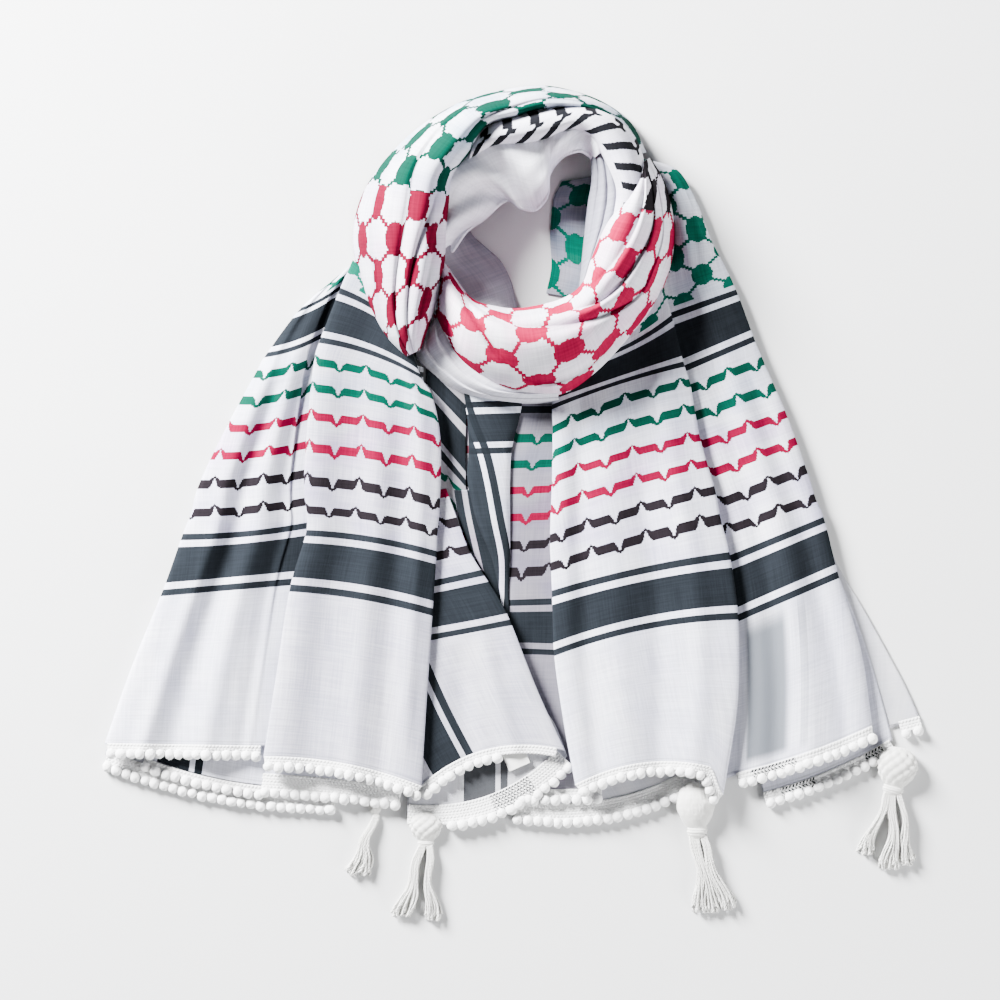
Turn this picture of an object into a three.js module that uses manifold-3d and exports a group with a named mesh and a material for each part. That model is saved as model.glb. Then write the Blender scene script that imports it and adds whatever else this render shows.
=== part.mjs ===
// A printed voile scarf, worn as a hijab and laid flat on a table. Its middle is wound into a
// neck loop, and its two pleated tails fan out below the loop to hems with a pompom trim and tassels.
// Millimetres. +Z is up from the table, +Y runs from the hems towards the loop, and the origin is
// on the table under the middle of the whole.
import * as THREE from "three";
import { mergeVertices } from "three/addons/utils/BufferGeometryUtils.js";
import Module from "manifold-3d";

const wasm = await Module();
wasm.setup();

// Driving sizes
const CLOTH = 1.4; // one layer of cloth with the air that it holds
const GAP = 0.3; // between pieces that touch
const TRIM_WIDTH = 5.5; // woven tape of the pompom trim
const POMPOM_RADIUS = 3.1;
const POMPOM_PITCH = 8.0;
const POMPOM_REACH = 7.2; // from the cloth's edge to the middle of a pompom
const LOOP_CENTRE = { x: 0.6, y: 189.8 };
const HOLE_CENTRE = { x: 21.6, y: 186.8 };
const LOOP_HEIGHT = 58;
const LOOP_STEP = 10; // degrees between two sections of the loop
const LOOP_WIDTH = 80; // about, from the hole to the outside, across one side of the loop

// Colours and finishes
const VOILE = { color: 0xf1f0f4, roughness: 0.92 };
const COTTON = { color: 0xf4f3ee, roughness: 0.95 };
const TASSEL_YARN = { color: 0xe2e1dc, roughness: 0.9 };
const SATIN = { color: 0xf6f6f2, roughness: 0.6 };

const radians = (degrees) => (degrees * Math.PI) / 180;
const mix = (a, b, t) => a + (b - a) * t;
const clamp = (x, low, high) => Math.min(high, Math.max(low, x));

// Reads a table between its rows: place 0 is the first row, 1 the second, and a smooth
// curve passes through each named column.
function readTable(table, place) {
  const last = table.length - 1;
  const i = clamp(Math.floor(place), 0, last - 1);
  const t = place - i;
  const before = table[Math.max(i - 1, 0)];
  const from = table[i];
  const to = table[i + 1];
  const after = table[Math.min(i + 2, last)];
  const read = {};
  for (const column of Object.keys(from)) {
    const [a, b, c, d] = [before[column], from[column], to[column], after[column]];
    const bend = 2 * a - 5 * b + 4 * c - d;
    const twist = 3 * (b - c) + d - a;
    read[column] = b + 0.5 * t * (c - a + t * (bend + t * twist));
  }
  return read;
}

// Reads a table whose column `angle` rises by even or uneven steps.
function readAngle(table, angle) {
  const last = table.length - 1;
  let i = 0;
  while (i < last - 1 && table[i + 1].angle < angle) i += 1;
  const step = table[i + 1].angle - table[i].angle;
  return readTable(table, i + clamp((angle - table[i].angle) / step, 0, 1));
}

function gridOf(rows, columns, pointAt) {
  return Array.from({ length: rows + 1 }, (_, i) =>
    Array.from({ length: columns + 1 }, (_, j) => pointAt(i / rows, j / columns)),
  );
}

// The direction that the cloth faces at a grid point, from its neighbours.
function facing(grid, i, j) {
  const above = grid[Math.min(i + 1, grid.length - 1)][j];
  const below = grid[Math.max(i - 1, 0)][j];
  const right = grid[i][Math.min(j + 1, grid[i].length - 1)];
  const left = grid[i][Math.max(j - 1, 0)];
  return right.clone().sub(left).cross(above.clone().sub(below)).normalize();
}

// Sets a geometry's faces, turned round if they would point inwards.
function closedBody(points, index) {
  let volume = 0;
  for (let k = 0; k < index.length; k += 3) {
    const [a, b, c] = [points[index[k]], points[index[k + 1]], points[index[k + 2]]];
    volume += a.dot(b.clone().cross(c));
  }
  if (volume < 0) index.reverse();
  const geometry = new THREE.BufferGeometry();
  const positions = points.flatMap((p) => [p.x, p.y, p.z]);
  geometry.setAttribute("position", new THREE.Float32BufferAttribute(positions, 3));
  geometry.setIndex(index);
  return geometry;
}

// A closed body between two grids of the same size, with its rim.
function bodyBetween(top, bottom) {
  const rows = top.length;
  const columns = top[0].length;
  const index = [];
  const upper = (i, j) => i * columns + j;
  const lower = (i, j) => rows * columns + upper(i, j);
  const quad = (a, b, c, d) => index.push(a, b, c, a, c, d);
  for (let i = 0; i < rows - 1; i += 1) {
    for (let j = 0; j < columns - 1; j += 1) {
      quad(upper(i, j), upper(i, j + 1), upper(i + 1, j + 1), upper(i + 1, j));
      quad(lower(i + 1, j), lower(i + 1, j + 1), lower(i, j + 1), lower(i, j));
    }
  }
  for (let j = 0; j < columns - 1; j += 1) {
    quad(lower(0, j), lower(0, j + 1), upper(0, j + 1), upper(0, j));
    quad(upper(rows - 1, j), upper(rows - 1, j + 1), lower(rows - 1, j + 1), lower(rows - 1, j));
  }
  for (let i = 0; i < rows - 1; i += 1) {
    quad(upper(i, 0), upper(i + 1, 0), lower(i + 1, 0), lower(i, 0));
    const far = columns - 1;
    quad(lower(i, far), lower(i + 1, far), upper(i + 1, far), upper(i, far));
  }
  return closedBody([...top.flat(), ...bottom.flat()], index);
}

// A body swept through closed sections of the same number of points. It joins up with its
// first section, or ends in two caps.
function sweptBody(sections, joined) {
  const around = sections[0].length;
  const points = sections.flat();
  const index = [];
  const spans = joined ? sections.length : sections.length - 1;
  for (let i = 0; i < spans; i += 1) {
    const [from, to] = [i * around, ((i + 1) % sections.length) * around];
    for (let j = 0; j < around; j += 1) {
      const next = (j + 1) % around;
      index.push(from + j, from + next, to + next, from + j, to + next, to + j);
    }
  }
  if (joined) return closedBody(points, index);
  for (const [i, flip] of [[0, true], [sections.length - 1, false]]) {
    const middle = new THREE.Vector3();
    sections[i].forEach((p) => middle.addScaledVector(p, 1 / around));
    points.push(middle);
    for (let j = 0; j < around; j += 1) {
      const [a, b] = [i * around + j, i * around + ((j + 1) % around)];
      index.push(...(flip ? [b, a, points.length - 1] : [a, b, points.length - 1]));
    }
  }
  return closedBody(points, index);
}

// A wall of cloth with the grid in its middle.
function wall(grid, thickness = CLOTH) {
  const side = (sign) =>
    grid.map((row, i) =>
      row.map((p, j) => p.clone().addScaledVector(facing(grid, i, j), (sign * thickness) / 2)),
    );
  return bodyBetween(side(1), side(-1));
}

// A layer that lies on the table, with the grid as its upper face.
function slab(grid) {
  return bodyBetween(grid, grid.map((row) => row.map((p) => new THREE.Vector3(p.x, p.y, 0))));
}

function solidOf(geometry) {
  const bare = new THREE.BufferGeometry();
  bare.setAttribute("position", geometry.getAttribute("position"));
  bare.setIndex(geometry.index);
  const merged = mergeVertices(bare, 1e-4);
  return new wasm.Manifold(
    new wasm.Mesh({
      numProp: 3,
      vertProperties: merged.attributes.position.array,
      triVerts: new Uint32Array(merged.index.array),
    }),
  );
}

function geometryOf(solid) {
  const { vertProperties, triVerts } = solid.getMesh();
  const geometry = new THREE.BufferGeometry();
  geometry.setAttribute("position", new THREE.BufferAttribute(vertProperties, 3));
  geometry.setIndex(new THREE.BufferAttribute(triVerts, 1));
  return geometry;
}

// Cuts one piece back from another, and keeps its largest body: the ends left under the loop go.
function cutBack(geometry, tool) {
  const bodies = solidOf(geometry).subtract(tool).decompose();
  return geometryOf(bodies.reduce((a, b) => (a.volume() > b.volume() ? a : b)));
}

const scarf = new THREE.Group();

function add(name, geometry, finish) {
  const material = new THREE.MeshStandardMaterial({ ...finish, metalness: 0 });
  const mesh = new THREE.Mesh(geometry, material);
  mesh.name = name;
  scarf.add(mesh);
}

// Panels of the tails. Each row of `stations` is one line across a panel, from its hem up to the
// loop: where its left and right edges lie, how far it bows towards the hem, and its loft.
// Each row of `section` is one place across: its share of the width, a sideways shift in mm and
// its height, of which all above `knee` is taken down with the loft.
const PANELS = {
  left_outer_pleat: {
    rows: 10,
    columns: 15,
    knee: 6,
    stations: [
      { leftX: -308, leftY: -188, rightX: -186, rightY: -183, bow: 0, loft: 1 },
      { leftX: -290, leftY: -128, rightX: -178, rightY: -122, bow: 0, loft: 1 },
      { leftX: -264, leftY: -69, rightX: -168, rightY: -62, bow: 1, loft: 1 },
      { leftX: -248, leftY: -25, rightX: -158, rightY: -15, bow: 2, loft: 1 },
      { leftX: -226, leftY: 33, rightX: -157, rightY: 41, bow: 3, loft: 1 },
      { leftX: -187, leftY: 109, rightX: -146, rightY: 121, bow: 2, loft: 0.9 },
      { leftX: -162, leftY: 144, rightX: -132, rightY: 159, bow: 2, loft: 0.4 },
      { leftX: -128, leftY: 178, rightX: -112, rightY: 187, bow: 0, loft: 0.1 },
    ],
    section: [
      { share: 0, shift: 6, height: 3 },
      { share: 0, shift: 1, height: 4 },
      { share: 0, shift: 0, height: 7 },
      { share: 0, shift: 4, height: 10.5 },
      { share: 0.12, shift: 4, height: 12.5 },
      { share: 0.35, shift: 0, height: 11 },
      { share: 0.6, shift: 0, height: 12 },
      { share: 0.85, shift: 0, height: 10.5 },
      { share: 1, shift: -8, height: 7.5 },
      { share: 1, shift: 3, height: 5.8 },
      { share: 1, shift: 12, height: 5.6 },
    ],
  },
  left_inner_pleat: {
    rows: 10,
    columns: 16,
    knee: 8.8,
    stations: [
      { leftX: -185, leftY: -197, rightX: -73, rightY: -223, bow: 0, loft: 1 },
      { leftX: -177, leftY: -130, rightX: -67, rightY: -154, bow: -2, loft: 1 },
      { leftX: -168, leftY: -68, rightX: -61, rightY: -84, bow: -3, loft: 1 },
      { leftX: -158, leftY: -22, rightX: -58, rightY: -37, bow: -3, loft: 1 },
      { leftX: -158, leftY: 36, rightX: -54, rightY: 25, bow: -3, loft: 1 },
      { leftX: -150, leftY: 99, rightX: -57, rightY: 67, bow: -4, loft: 0.9 },
      { leftX: -134, leftY: 155, rightX: -63, rightY: 88, bow: -2, loft: 0.5 },
      { leftX: -119, leftY: 181, rightX: -74, rightY: 108, bow: 2, loft: 0.3 },
    ],
    section: [
      { share: 0, shift: 9, height: 8.6 },
      { share: 0, shift: 3, height: 8.7 },
      { share: 0, shift: 0, height: 11 },
      { share: 0, shift: 2, height: 14.5 },
      { share: 0.08, shift: 2, height: 16.5 },
      { share: 0.25, shift: 0, height: 15.5 },
      { share: 0.45, shift: 0, height: 13 },
      { share: 0.7, shift: 0, height: 14 },
      { share: 0.9, shift: 0, height: 14.5 },
      { share: 1, shift: -1, height: 12.8 },
      { share: 1, shift: 0, height: 10.4 },
      { share: 1, shift: -5, height: 8.9 },
    ],
  },
  right_main_panel: {
    rows: 10,
    columns: 16,
    knee: 8.8,
    stations: [
      { leftX: 46, leftY: -218, rightX: 163, rightY: -207, bow: -14, loft: 1 },
      { leftX: 36, leftY: -165, rightX: 170, rightY: -149, bow: -8, loft: 1 },
      { leftX: 30, leftY: -116, rightX: 167, rightY: -85, bow: -4, loft: 1 },
      { leftX: 28, leftY: -68, rightX: 160, rightY: -40, bow: -3, loft: 1 },
      { leftX: 27, leftY: -1, rightX: 147, rightY: 21, bow: -2, loft: 1 },
      { leftX: 28, leftY: 52, rightX: 132, rightY: 78, bow: -3, loft: 0.9 },
      { leftX: 28, leftY: 72, rightX: 121, rightY: 126, bow: 2, loft: 0.5 },
      { leftX: 31, leftY: 86, rightX: 111, rightY: 156, bow: 12, loft: 0.3 },
    ],
    section: [
      { share: 0, shift: 8, height: 8.7 },
      { share: 0, shift: 2, height: 9 },
      { share: 0, shift: 0, height: 11.5 },
      { share: 0, shift: 3, height: 15 },
      { share: 0.1, shift: 2, height: 17 },
      { share: 0.35, shift: 0, height: 15 },
      { share: 0.6, shift: 0, height: 15.5 },
      { share: 0.85, shift: 0, height: 17.5 },
      { share: 1, shift: -3, height: 16 },
      { share: 1, shift: 0, height: 13 },
      { share: 1, shift: -2, height: 10.2 },
      { share: 1, shift: -8, height: 9 },
    ],
  },
  right_outer_panel: {
    rows: 14,
    columns: 14,
    knee: 6,
    stations: [
      { leftX: 167, leftY: -215, rightX: 269, rightY: -174, bow: -2, loft: 1 },
      { leftX: 170, leftY: -153, rightX: 262, rightY: -123, bow: 0, loft: 1 },
      { leftX: 167, leftY: -87, rightX: 244, rightY: -56, bow: 0, loft: 1 },
      { leftX: 161, leftY: -42, rightX: 232, rightY: -12, bow: 0, loft: 1 },
      { leftX: 147, leftY: 21, rightX: 214, rightY: 41, bow: 0, loft: 1 },
      { leftX: 127, leftY: 99, rightX: 180, rightY: 121, bow: 0, loft: 1 },
      { leftX: 118, leftY: 137, rightX: 163, rightY: 162, bow: 0, loft: 1 },
      { leftX: 113, leftY: 172, rightX: 148, rightY: 196, bow: 0, loft: 1 },
      { leftX: 110, leftY: 210, rightX: 132, rightY: 231, bow: 0, loft: 1 },
      { leftX: 92, leftY: 246, rightX: 107, rightY: 263, bow: 0, loft: 1 },
    ],
    section: [
      { share: 0, shift: -9, height: 5.8 },
      { share: 0, shift: -1, height: 6 },
      { share: 0.02, shift: 5, height: 7.5 },
      { share: 0.25, shift: 0, height: 10 },
      { share: 0.5, shift: 0, height: 12.5 },
      { share: 0.8, shift: 0, height: 13 },
      { share: 0.97, shift: -3, height: 11.5 },
      { share: 1, shift: 0, height: 8.5 },
      { share: 1, shift: -1, height: 6 },
      { share: 1, shift: -5, height: 4.6 },
    ],
  },
  right_inner_fold: {
    rows: 10,
    columns: 6,
    knee: 2.6,
    stations: [
      { leftX: 3, leftY: -217, rightX: 66, rightY: -216, bow: 0, loft: 0.2 },
      { leftX: 6, leftY: -165, rightX: 52, rightY: -166, bow: 0, loft: 0.2 },
      { leftX: -4, leftY: -115, rightX: 46, rightY: -118, bow: 0, loft: 1 },
      { leftX: -2, leftY: -72, rightX: 44, rightY: -75, bow: 0, loft: 1 },
      { leftX: -2, leftY: -12, rightX: 43, rightY: -13, bow: 0, loft: 1 },
      { leftX: 1, leftY: 42, rightX: 44, rightY: 41, bow: 0, loft: 1 },
      { leftX: 9, leftY: 72, rightX: 45, rightY: 72, bow: 0, loft: 1 },
      { leftX: 11, leftY: 86, rightX: 46, rightY: 89, bow: 0, loft: 1 },
    ],
    section: [
      { share: 0, shift: 0, height: 2.6 },
      { share: 0.03, shift: 0, height: 4.4 },
      { share: 0.2, shift: 0, height: 5.6 },
      { share: 0.6, shift: 0, height: 4.8 },
      { share: 1, shift: 0, height: 5.2 },
    ],
  },
  centre_front_fold: {
    rows: 9,
    columns: 12,
    knee: 6.7,
    stations: [
      { leftX: -77, leftY: -224, rightX: 38, rightY: -189, bow: -17, loft: 1 },
      { leftX: -79, leftY: -164, rightX: 17, rightY: -141, bow: -6, loft: 1 },
      { leftX: -77, leftY: -104, rightX: -2, rightY: -90, bow: 0, loft: 1 },
      { leftX: -74, leftY: -59, rightX: -25, rightY: -51, bow: 0, loft: 0.8 },
      { leftX: -71, leftY: -20, rightX: -43, rightY: -15, bow: 0, loft: 0.25 },
      { leftX: -68, leftY: 7, rightX: -51, rightY: 10, bow: 0, loft: 0.1 },
    ],
    section: [
      { share: 0, shift: 0, height: 6.7 },
      { share: 0.2, shift: 0, height: 6.9 },
      { share: 0.5, shift: 0, height: 9 },
      { share: 0.75, shift: 0, height: 11.4 },
      { share: 0.97, shift: -4, height: 13 },
      { share: 1, shift: 0, height: 11.6 },
      { share: 1, shift: -2, height: 9.8 },
      { share: 1, shift: -6, height: 9.4 },
    ],
  },
  centre_lower_layer: {
    rows: 3,
    columns: 12,
    knee: 2.6,
    stations: [
      { leftX: -80, leftY: -236, rightX: 40, rightY: -191, bow: 16, loft: 1 },
      { leftX: -80, leftY: -200, rightX: 30, rightY: -166, bow: 2, loft: 1 },
      { leftX: -80, leftY: -165, rightX: 16, rightY: -150, bow: 0, loft: 1 },
    ],
    section: [
      { share: 0, shift: 0, height: 2.6 },
      { share: 0.48, shift: 0, height: 2.8 },
      { share: 0.66, shift: 0, height: 5 },
      { share: 0.8, shift: 0, height: 7.3 },
      { share: 1, shift: 0, height: 7.3 },
    ],
  },
  centre_twist: {
    rows: 12,
    columns: 8,
    knee: 5.6,
    stations: [
      { leftX: -11, leftY: -88, rightX: -4, rightY: -88, bow: 0, loft: 0.1 },
      { leftX: -13, leftY: -66, rightX: -4.5, rightY: -66, bow: 0, loft: 0.2 },
      { leftX: -17, leftY: -42, rightX: -4, rightY: -44, bow: 0, loft: 0.7 },
      { leftX: -28, leftY: -15, rightX: -4, rightY: -15, bow: 0, loft: 1 },
      { leftX: -35, leftY: 16, rightX: -4, rightY: 15, bow: 0, loft: 1 },
      { leftX: -34, leftY: 39, rightX: -1.5, rightY: 40, bow: 0, loft: 1 },
      { leftX: -35, leftY: 61, rightX: 4, rightY: 62, bow: 0, loft: 1 },
      { leftX: -38, leftY: 84, rightX: 8, rightY: 86, bow: 0, loft: 0.8 },
    ],
    section: [
      { share: 0, shift: 0, height: 5.6 },
      { share: 0.04, shift: 0, height: 7.6 },
      { share: 0.2, shift: 0, height: 9.6 },
      { share: 0.5, shift: 0, height: 10.6 },
      { share: 0.85, shift: 0, height: 9.6 },
      { share: 1, shift: 0, height: 7.4 },
    ],
  },
  centre_deep_fold: {
    rows: 5,
    columns: 6,
    knee: 20,
    stations: [
      { leftX: -64, leftY: -96, rightX: -10, rightY: -92, bow: 0, loft: 1 },
      { leftX: -66, leftY: -60, rightX: -10, rightY: -58, bow: 0, loft: 1 },
      { leftX: -66, leftY: -15, rightX: -10, rightY: -15, bow: 0, loft: 1 },
      { leftX: -66, leftY: 40, rightX: -9, rightY: 40, bow: 0, loft: 1 },
      { leftX: -66, leftY: 84, rightX: -4, rightY: 86, bow: 0, loft: 1 },
    ],
    section: [
      { share: 0, shift: 0, height: 2.6 },
      { share: 0.2, shift: 0, height: 3.4 },
      { share: 0.45, shift: 0, height: 2.8 },
      { share: 0.7, shift: 0, height: 3.4 },
      { share: 1, shift: 0, height: 2.8 },
    ],
  },
  right_second_layer: {
    rows: 5,
    columns: 6,
    knee: 2.6,
    stations: [
      { leftX: 180, leftY: -221, rightX: 281, rightY: -176, bow: 4, loft: 1 },
      { leftX: 175, leftY: -150, rightX: 269, rightY: -125, bow: 0, loft: 1 },
      { leftX: 170, leftY: -95, rightX: 257, rightY: -90, bow: 0, loft: 1 },
      { leftX: 165, leftY: -45, rightX: 239, rightY: -45, bow: 0, loft: 1 },
    ],
    section: [
      { share: 0, shift: 0, height: 2.6 },
      { share: 1, shift: 0, height: 2.6 },
    ],
  },
};

// Layers that lie on the table, under the panels, read in the same way.
const LAYERS = {
  left_under_layers: {
    rows: 6,
    columns: 8,
    knee: 0,
    stations: [
      { leftX: -304, leftY: -191, rightX: -82, rightY: -222, bow: 18, loft: 1 },
      { leftX: -286, leftY: -128, rightX: -80, rightY: -140, bow: 0, loft: 1 },
      { leftX: -260, leftY: -69, rightX: -68, rightY: -80, bow: 0, loft: 1 },
      { leftX: -243, leftY: -25, rightX: -68, rightY: -30, bow: 0, loft: 1 },
      { leftX: -221, leftY: 33, rightX: -68, rightY: 30, bow: 0, loft: 1 },
      { leftX: -182, leftY: 109, rightX: -68, rightY: 86, bow: 0, loft: 1 },
      { leftX: -124, leftY: 176, rightX: -68, rightY: 130, bow: 0, loft: 1 },
    ],
    section: [
      { share: 0, shift: 0, height: 1.5 },
      { share: 1, shift: 0, height: 1.5 },
    ],
  },
  right_under_layers: {
    rows: 6,
    columns: 8,
    knee: 0,
    stations: [
      { leftX: -20, leftY: -226, rightX: 140, rightY: -204, bow: 17, loft: 1 },
      { leftX: -66, leftY: -140, rightX: 148, rightY: -146, bow: 0, loft: 1 },
      { leftX: -67, leftY: -80, rightX: 148, rightY: -80, bow: 0, loft: 1 },
      { leftX: -67, leftY: -30, rightX: 142, rightY: -30, bow: 0, loft: 1 },
      { leftX: -67, leftY: 30, rightX: 134, rightY: 30, bow: 0, loft: 1 },
      { leftX: -67, leftY: 86, rightX: 122, rightY: 90, bow: 0, loft: 1 },
      { leftX: -60, leftY: 120, rightX: 114, rightY: 130, bow: 0, loft: 1 },
    ],
    section: [
      { share: 0, shift: 0, height: 1.5 },
      { share: 1, shift: 0, height: 1.5 },
    ],
  },
  right_back_layer: {
    rows: 7,
    columns: 6,
    knee: 0,
    stations: [
      { leftX: 152, leftY: -205, rightX: 303, rightY: -164, bow: 0, loft: 1 },
      { leftX: 153, leftY: -150, rightX: 292, rightY: -135, bow: 0, loft: 1 },
      { leftX: 150, leftY: -85, rightX: 262, rightY: -80, bow: 0, loft: 1 },
      { leftX: 144, leftY: -40, rightX: 241, rightY: -44, bow: 0, loft: 1 },
      { leftX: 138, leftY: 25, rightX: 206, rightY: 35, bow: 0, loft: 1 },
      { leftX: 124, leftY: 100, rightX: 172, rightY: 118, bow: 0, loft: 1 },
      { leftX: 110, leftY: 170, rightX: 140, rightY: 190, bow: 0, loft: 1 },
      { leftX: 100, leftY: 215, rightX: 124, rightY: 228, bow: 0, loft: 1 },
    ],
    section: [
      { share: 0, shift: 0, height: 1.5 },
      { share: 1, shift: 0, height: 1.5 },
    ],
  },
};

// A point on a panel: `along` runs from the hem to the loop, `across` from left to right.
function panelPoint(panel, along, across) {
  const station = readTable(panel.stations, along * (panel.stations.length - 1));
  const place = readTable(panel.section, across * (panel.section.length - 1));
  const dx = station.rightX - station.leftX;
  const dy = station.rightY - station.leftY;
  const width = Math.hypot(dx, dy);
  const share = place.share + (place.shift / width) * Math.max(station.loft, 0.5);
  const inside = clamp(share, 0, 1);
  const bow = station.bow * 4 * inside * (1 - inside);
  const sunk = Math.max(place.height - panel.knee, 0) * (1 - station.loft);
  return new THREE.Vector3(
    station.leftX + dx * share + (dy / width) * bow,
    station.leftY + dy * share - (dx / width) * bow,
    place.height - sunk,
  );
}

const panelGrid = (panel) =>
  gridOf(panel.rows, panel.columns, (along, across) => panelPoint(panel, along, across));

// The neck loop, read by the angle from its right side, anticlockwise: its radius, the radius of
// the hole, and how far out from the hole the white collar ends and the outer turn begins.
const LOOP = [
  { angle: 0, outer: 121, hole: 35, collar: 0.32, roll: 0.36 },
  { angle: 30, outer: 121, hole: 38, collar: 0.36, roll: 0.5 },
  { angle: 60, outer: 122.5, hole: 39, collar: 0.42, roll: 0.64 },
  { angle: 90, outer: 119.5, hole: 38, collar: 0.45, roll: 0.71 },
  { angle: 120, outer: 114.5, hole: 38, collar: 0.42, roll: 0.66 },
  { angle: 150, outer: 117.5, hole: 35, collar: 0.38, roll: 0.46 },
  { angle: 180, outer: 121.5, hole: 33, collar: 0.35, roll: 0.36 },
  { angle: 210, outer: 119, hole: 34, collar: 0.16, roll: 0.17 },
  { angle: 240, outer: 119, hole: 38, collar: 0.01, roll: 0.01 },
  { angle: 270, outer: 119.5, hole: 40, collar: 0.01, roll: 0.01 },
  { angle: 300, outer: 125, hole: 40, collar: 0.01, roll: 0.01 },
  { angle: 330, outer: 121, hole: 36, collar: 0.2, roll: 0.21 },
  { angle: 360, outer: 121, hole: 35, collar: 0.32, roll: 0.36 },
];

// Sections of the loop's turns: how far across from the inner to the outer side, and how much of
// the loop's height. The rest of each section lies flat on the table.
const OUTER_TURN = [
  { across: 0, height: 0 },
  { across: 0, height: 0.55 },
  { across: 0.04, height: 0.74 },
  { across: 0.12, height: 0.9 },
  { across: 0.22, height: 0.95 },
  { across: 0.34, height: 0.88 },
  { across: 0.48, height: 1 },
  { across: 0.6, height: 0.9 },
  { across: 0.72, height: 0.93 },
  { across: 0.84, height: 0.78 },
  { across: 0.93, height: 0.6 },
  { across: 0.98, height: 0.4 },
  { across: 1, height: 0.2 },
  { across: 0.97, height: 0 },
];
const TOP_TURN = [
  { across: 0, height: 0 },
  { across: 0, height: 0.74 },
  { across: 0.15, height: 0.94 },
  { across: 0.4, height: 1.02 },
  { across: 0.7, height: 0.94 },
  { across: 1, height: 0.7 },
  { across: 1, height: 0 },
];
const COLLAR = [
  { across: 0, height: 0 },
  { across: 0, height: 0.4 },
  { across: 0.06, height: 0.62 },
  { across: 0.2, height: 0.8 },
  { across: 0.4, height: 0.76 },
  { across: 0.6, height: 0.86 },
  { across: 0.85, height: 0.84 },
  { across: 1, height: 0.7 },
  { across: 1, height: 0 },
];

// A point of the loop: `reach` runs from 0 at the hole to 1 at the outside.
function loopPoint(angle, reach, height) {
  const place = readAngle(LOOP, ((angle % 360) + 360) % 360);
  const [c, s] = [Math.cos(radians(angle)), Math.sin(radians(angle))];
  return new THREE.Vector3(
    mix(HOLE_CENTRE.x + place.hole * c, LOOP_CENTRE.x + place.outer * c, reach),
    mix(HOLE_CENTRE.y + place.hole * s, LOOP_CENTRE.y + place.outer * s, reach),
    height,
  );
}

// The share of a point's reach that half the gap between two turns takes.
const HALF_GAP_REACH = 0.004;

// One turn of the loop between two boundaries. `crown` is its height at an angle, and `grow`
// widens it all round, for a tool that cuts other pieces back.
function loopTurn({ from, to, joined, inner, outer, section, crown, grow = 0 }) {
  const count = Math.round((to - from) / LOOP_STEP);
  const angles = Array.from({ length: joined ? count : count + 1 }, (_, i) => from + i * LOOP_STEP);
  const sections = angles.map((angle) => {
    const place = readAngle(LOOP, ((angle % 360) + 360) % 360);
    const [near, far] = [inner(place) + HALF_GAP_REACH, outer(place) - HALF_GAP_REACH];
    return section.map(({ across, height }) => {
      const reach = mix(near, far, across) + (across > 0.5 ? grow : -grow) / LOOP_WIDTH;
      return loopPoint(angle, reach, height === 0 ? 0 : height * crown(angle) + grow);
    });
  });
  return sweptBody(sections, joined);
}

// Height of the loop round its ring, a little lower at the bottom, with slow waves. The ends of a
// turn taper down over some degrees.
const CROWN = { mean: 0.93, tilt: 0.05, wave: 0.02, waves: 5 };
const TAPER = { degrees: 30, least: 0.3 };
function ringCrown(angle) {
  const tilt = CROWN.tilt * Math.sin(radians(angle));
  const wave = CROWN.wave * Math.sin(radians(CROWN.waves * angle));
  return LOOP_HEIGHT * (CROWN.mean + tilt + wave);
}
function taper(angle, from, to) {
  const toEnd = Math.min(angle - from, to - angle);
  return Math.sqrt(clamp(toEnd / TAPER.degrees + TAPER.least, 0, 1));
}

const outerTurn = {
  from: 0,
  to: 360,
  joined: true,
  inner: (place) => place.roll,
  outer: () => 1 + HALF_GAP_REACH,
  section: OUTER_TURN,
  crown: ringCrown,
};
const topTurn = {
  from: 10,
  to: 160,
  joined: false,
  inner: (place) => place.collar,
  outer: (place) => place.roll,
  section: TOP_TURN,
  crown: (angle) => ringCrown(angle) * taper(angle, 10, 160),
};
const collar = {
  from: -30,
  to: 210,
  joined: false,
  inner: () => 0,
  outer: (place) => place.collar,
  section: COLLAR,
  crown: (angle) => ringCrown(angle) * taper(angle, -30, 210),
};

const ring = solidOf(loopTurn({ ...outerTurn, grow: GAP }));

for (const [name, layer] of Object.entries(LAYERS)) {
  add(name, cutBack(slab(panelGrid(layer)), ring), VOILE);
}
for (const [name, panel] of Object.entries(PANELS)) {
  add(name, cutBack(wall(panelGrid(panel)), ring), VOILE);
}
add("loop_outer_turn", loopTurn(outerTurn), VOILE);
add("loop_top_turn", loopTurn(topTurn), VOILE);
add("loop_inner_collar", loopTurn(collar), VOILE);

// A layer that shows through the hole, along its right side.
const SHELF = { straightX: 27, from: -50, to: 52, rows: 8, gap: 0.4, height: 1.5 };
const shelfGrid = gridOf(SHELF.rows, 2, (along, across) => {
  const angle = mix(SHELF.from, SHELF.to, along);
  const edge = loopPoint(angle, 0, SHELF.height);
  return new THREE.Vector3(mix(SHELF.straightX, edge.x - SHELF.gap, across), edge.y, edge.z);
});
add("hole_under_layer", slab(shelfGrid), VOILE);

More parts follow.
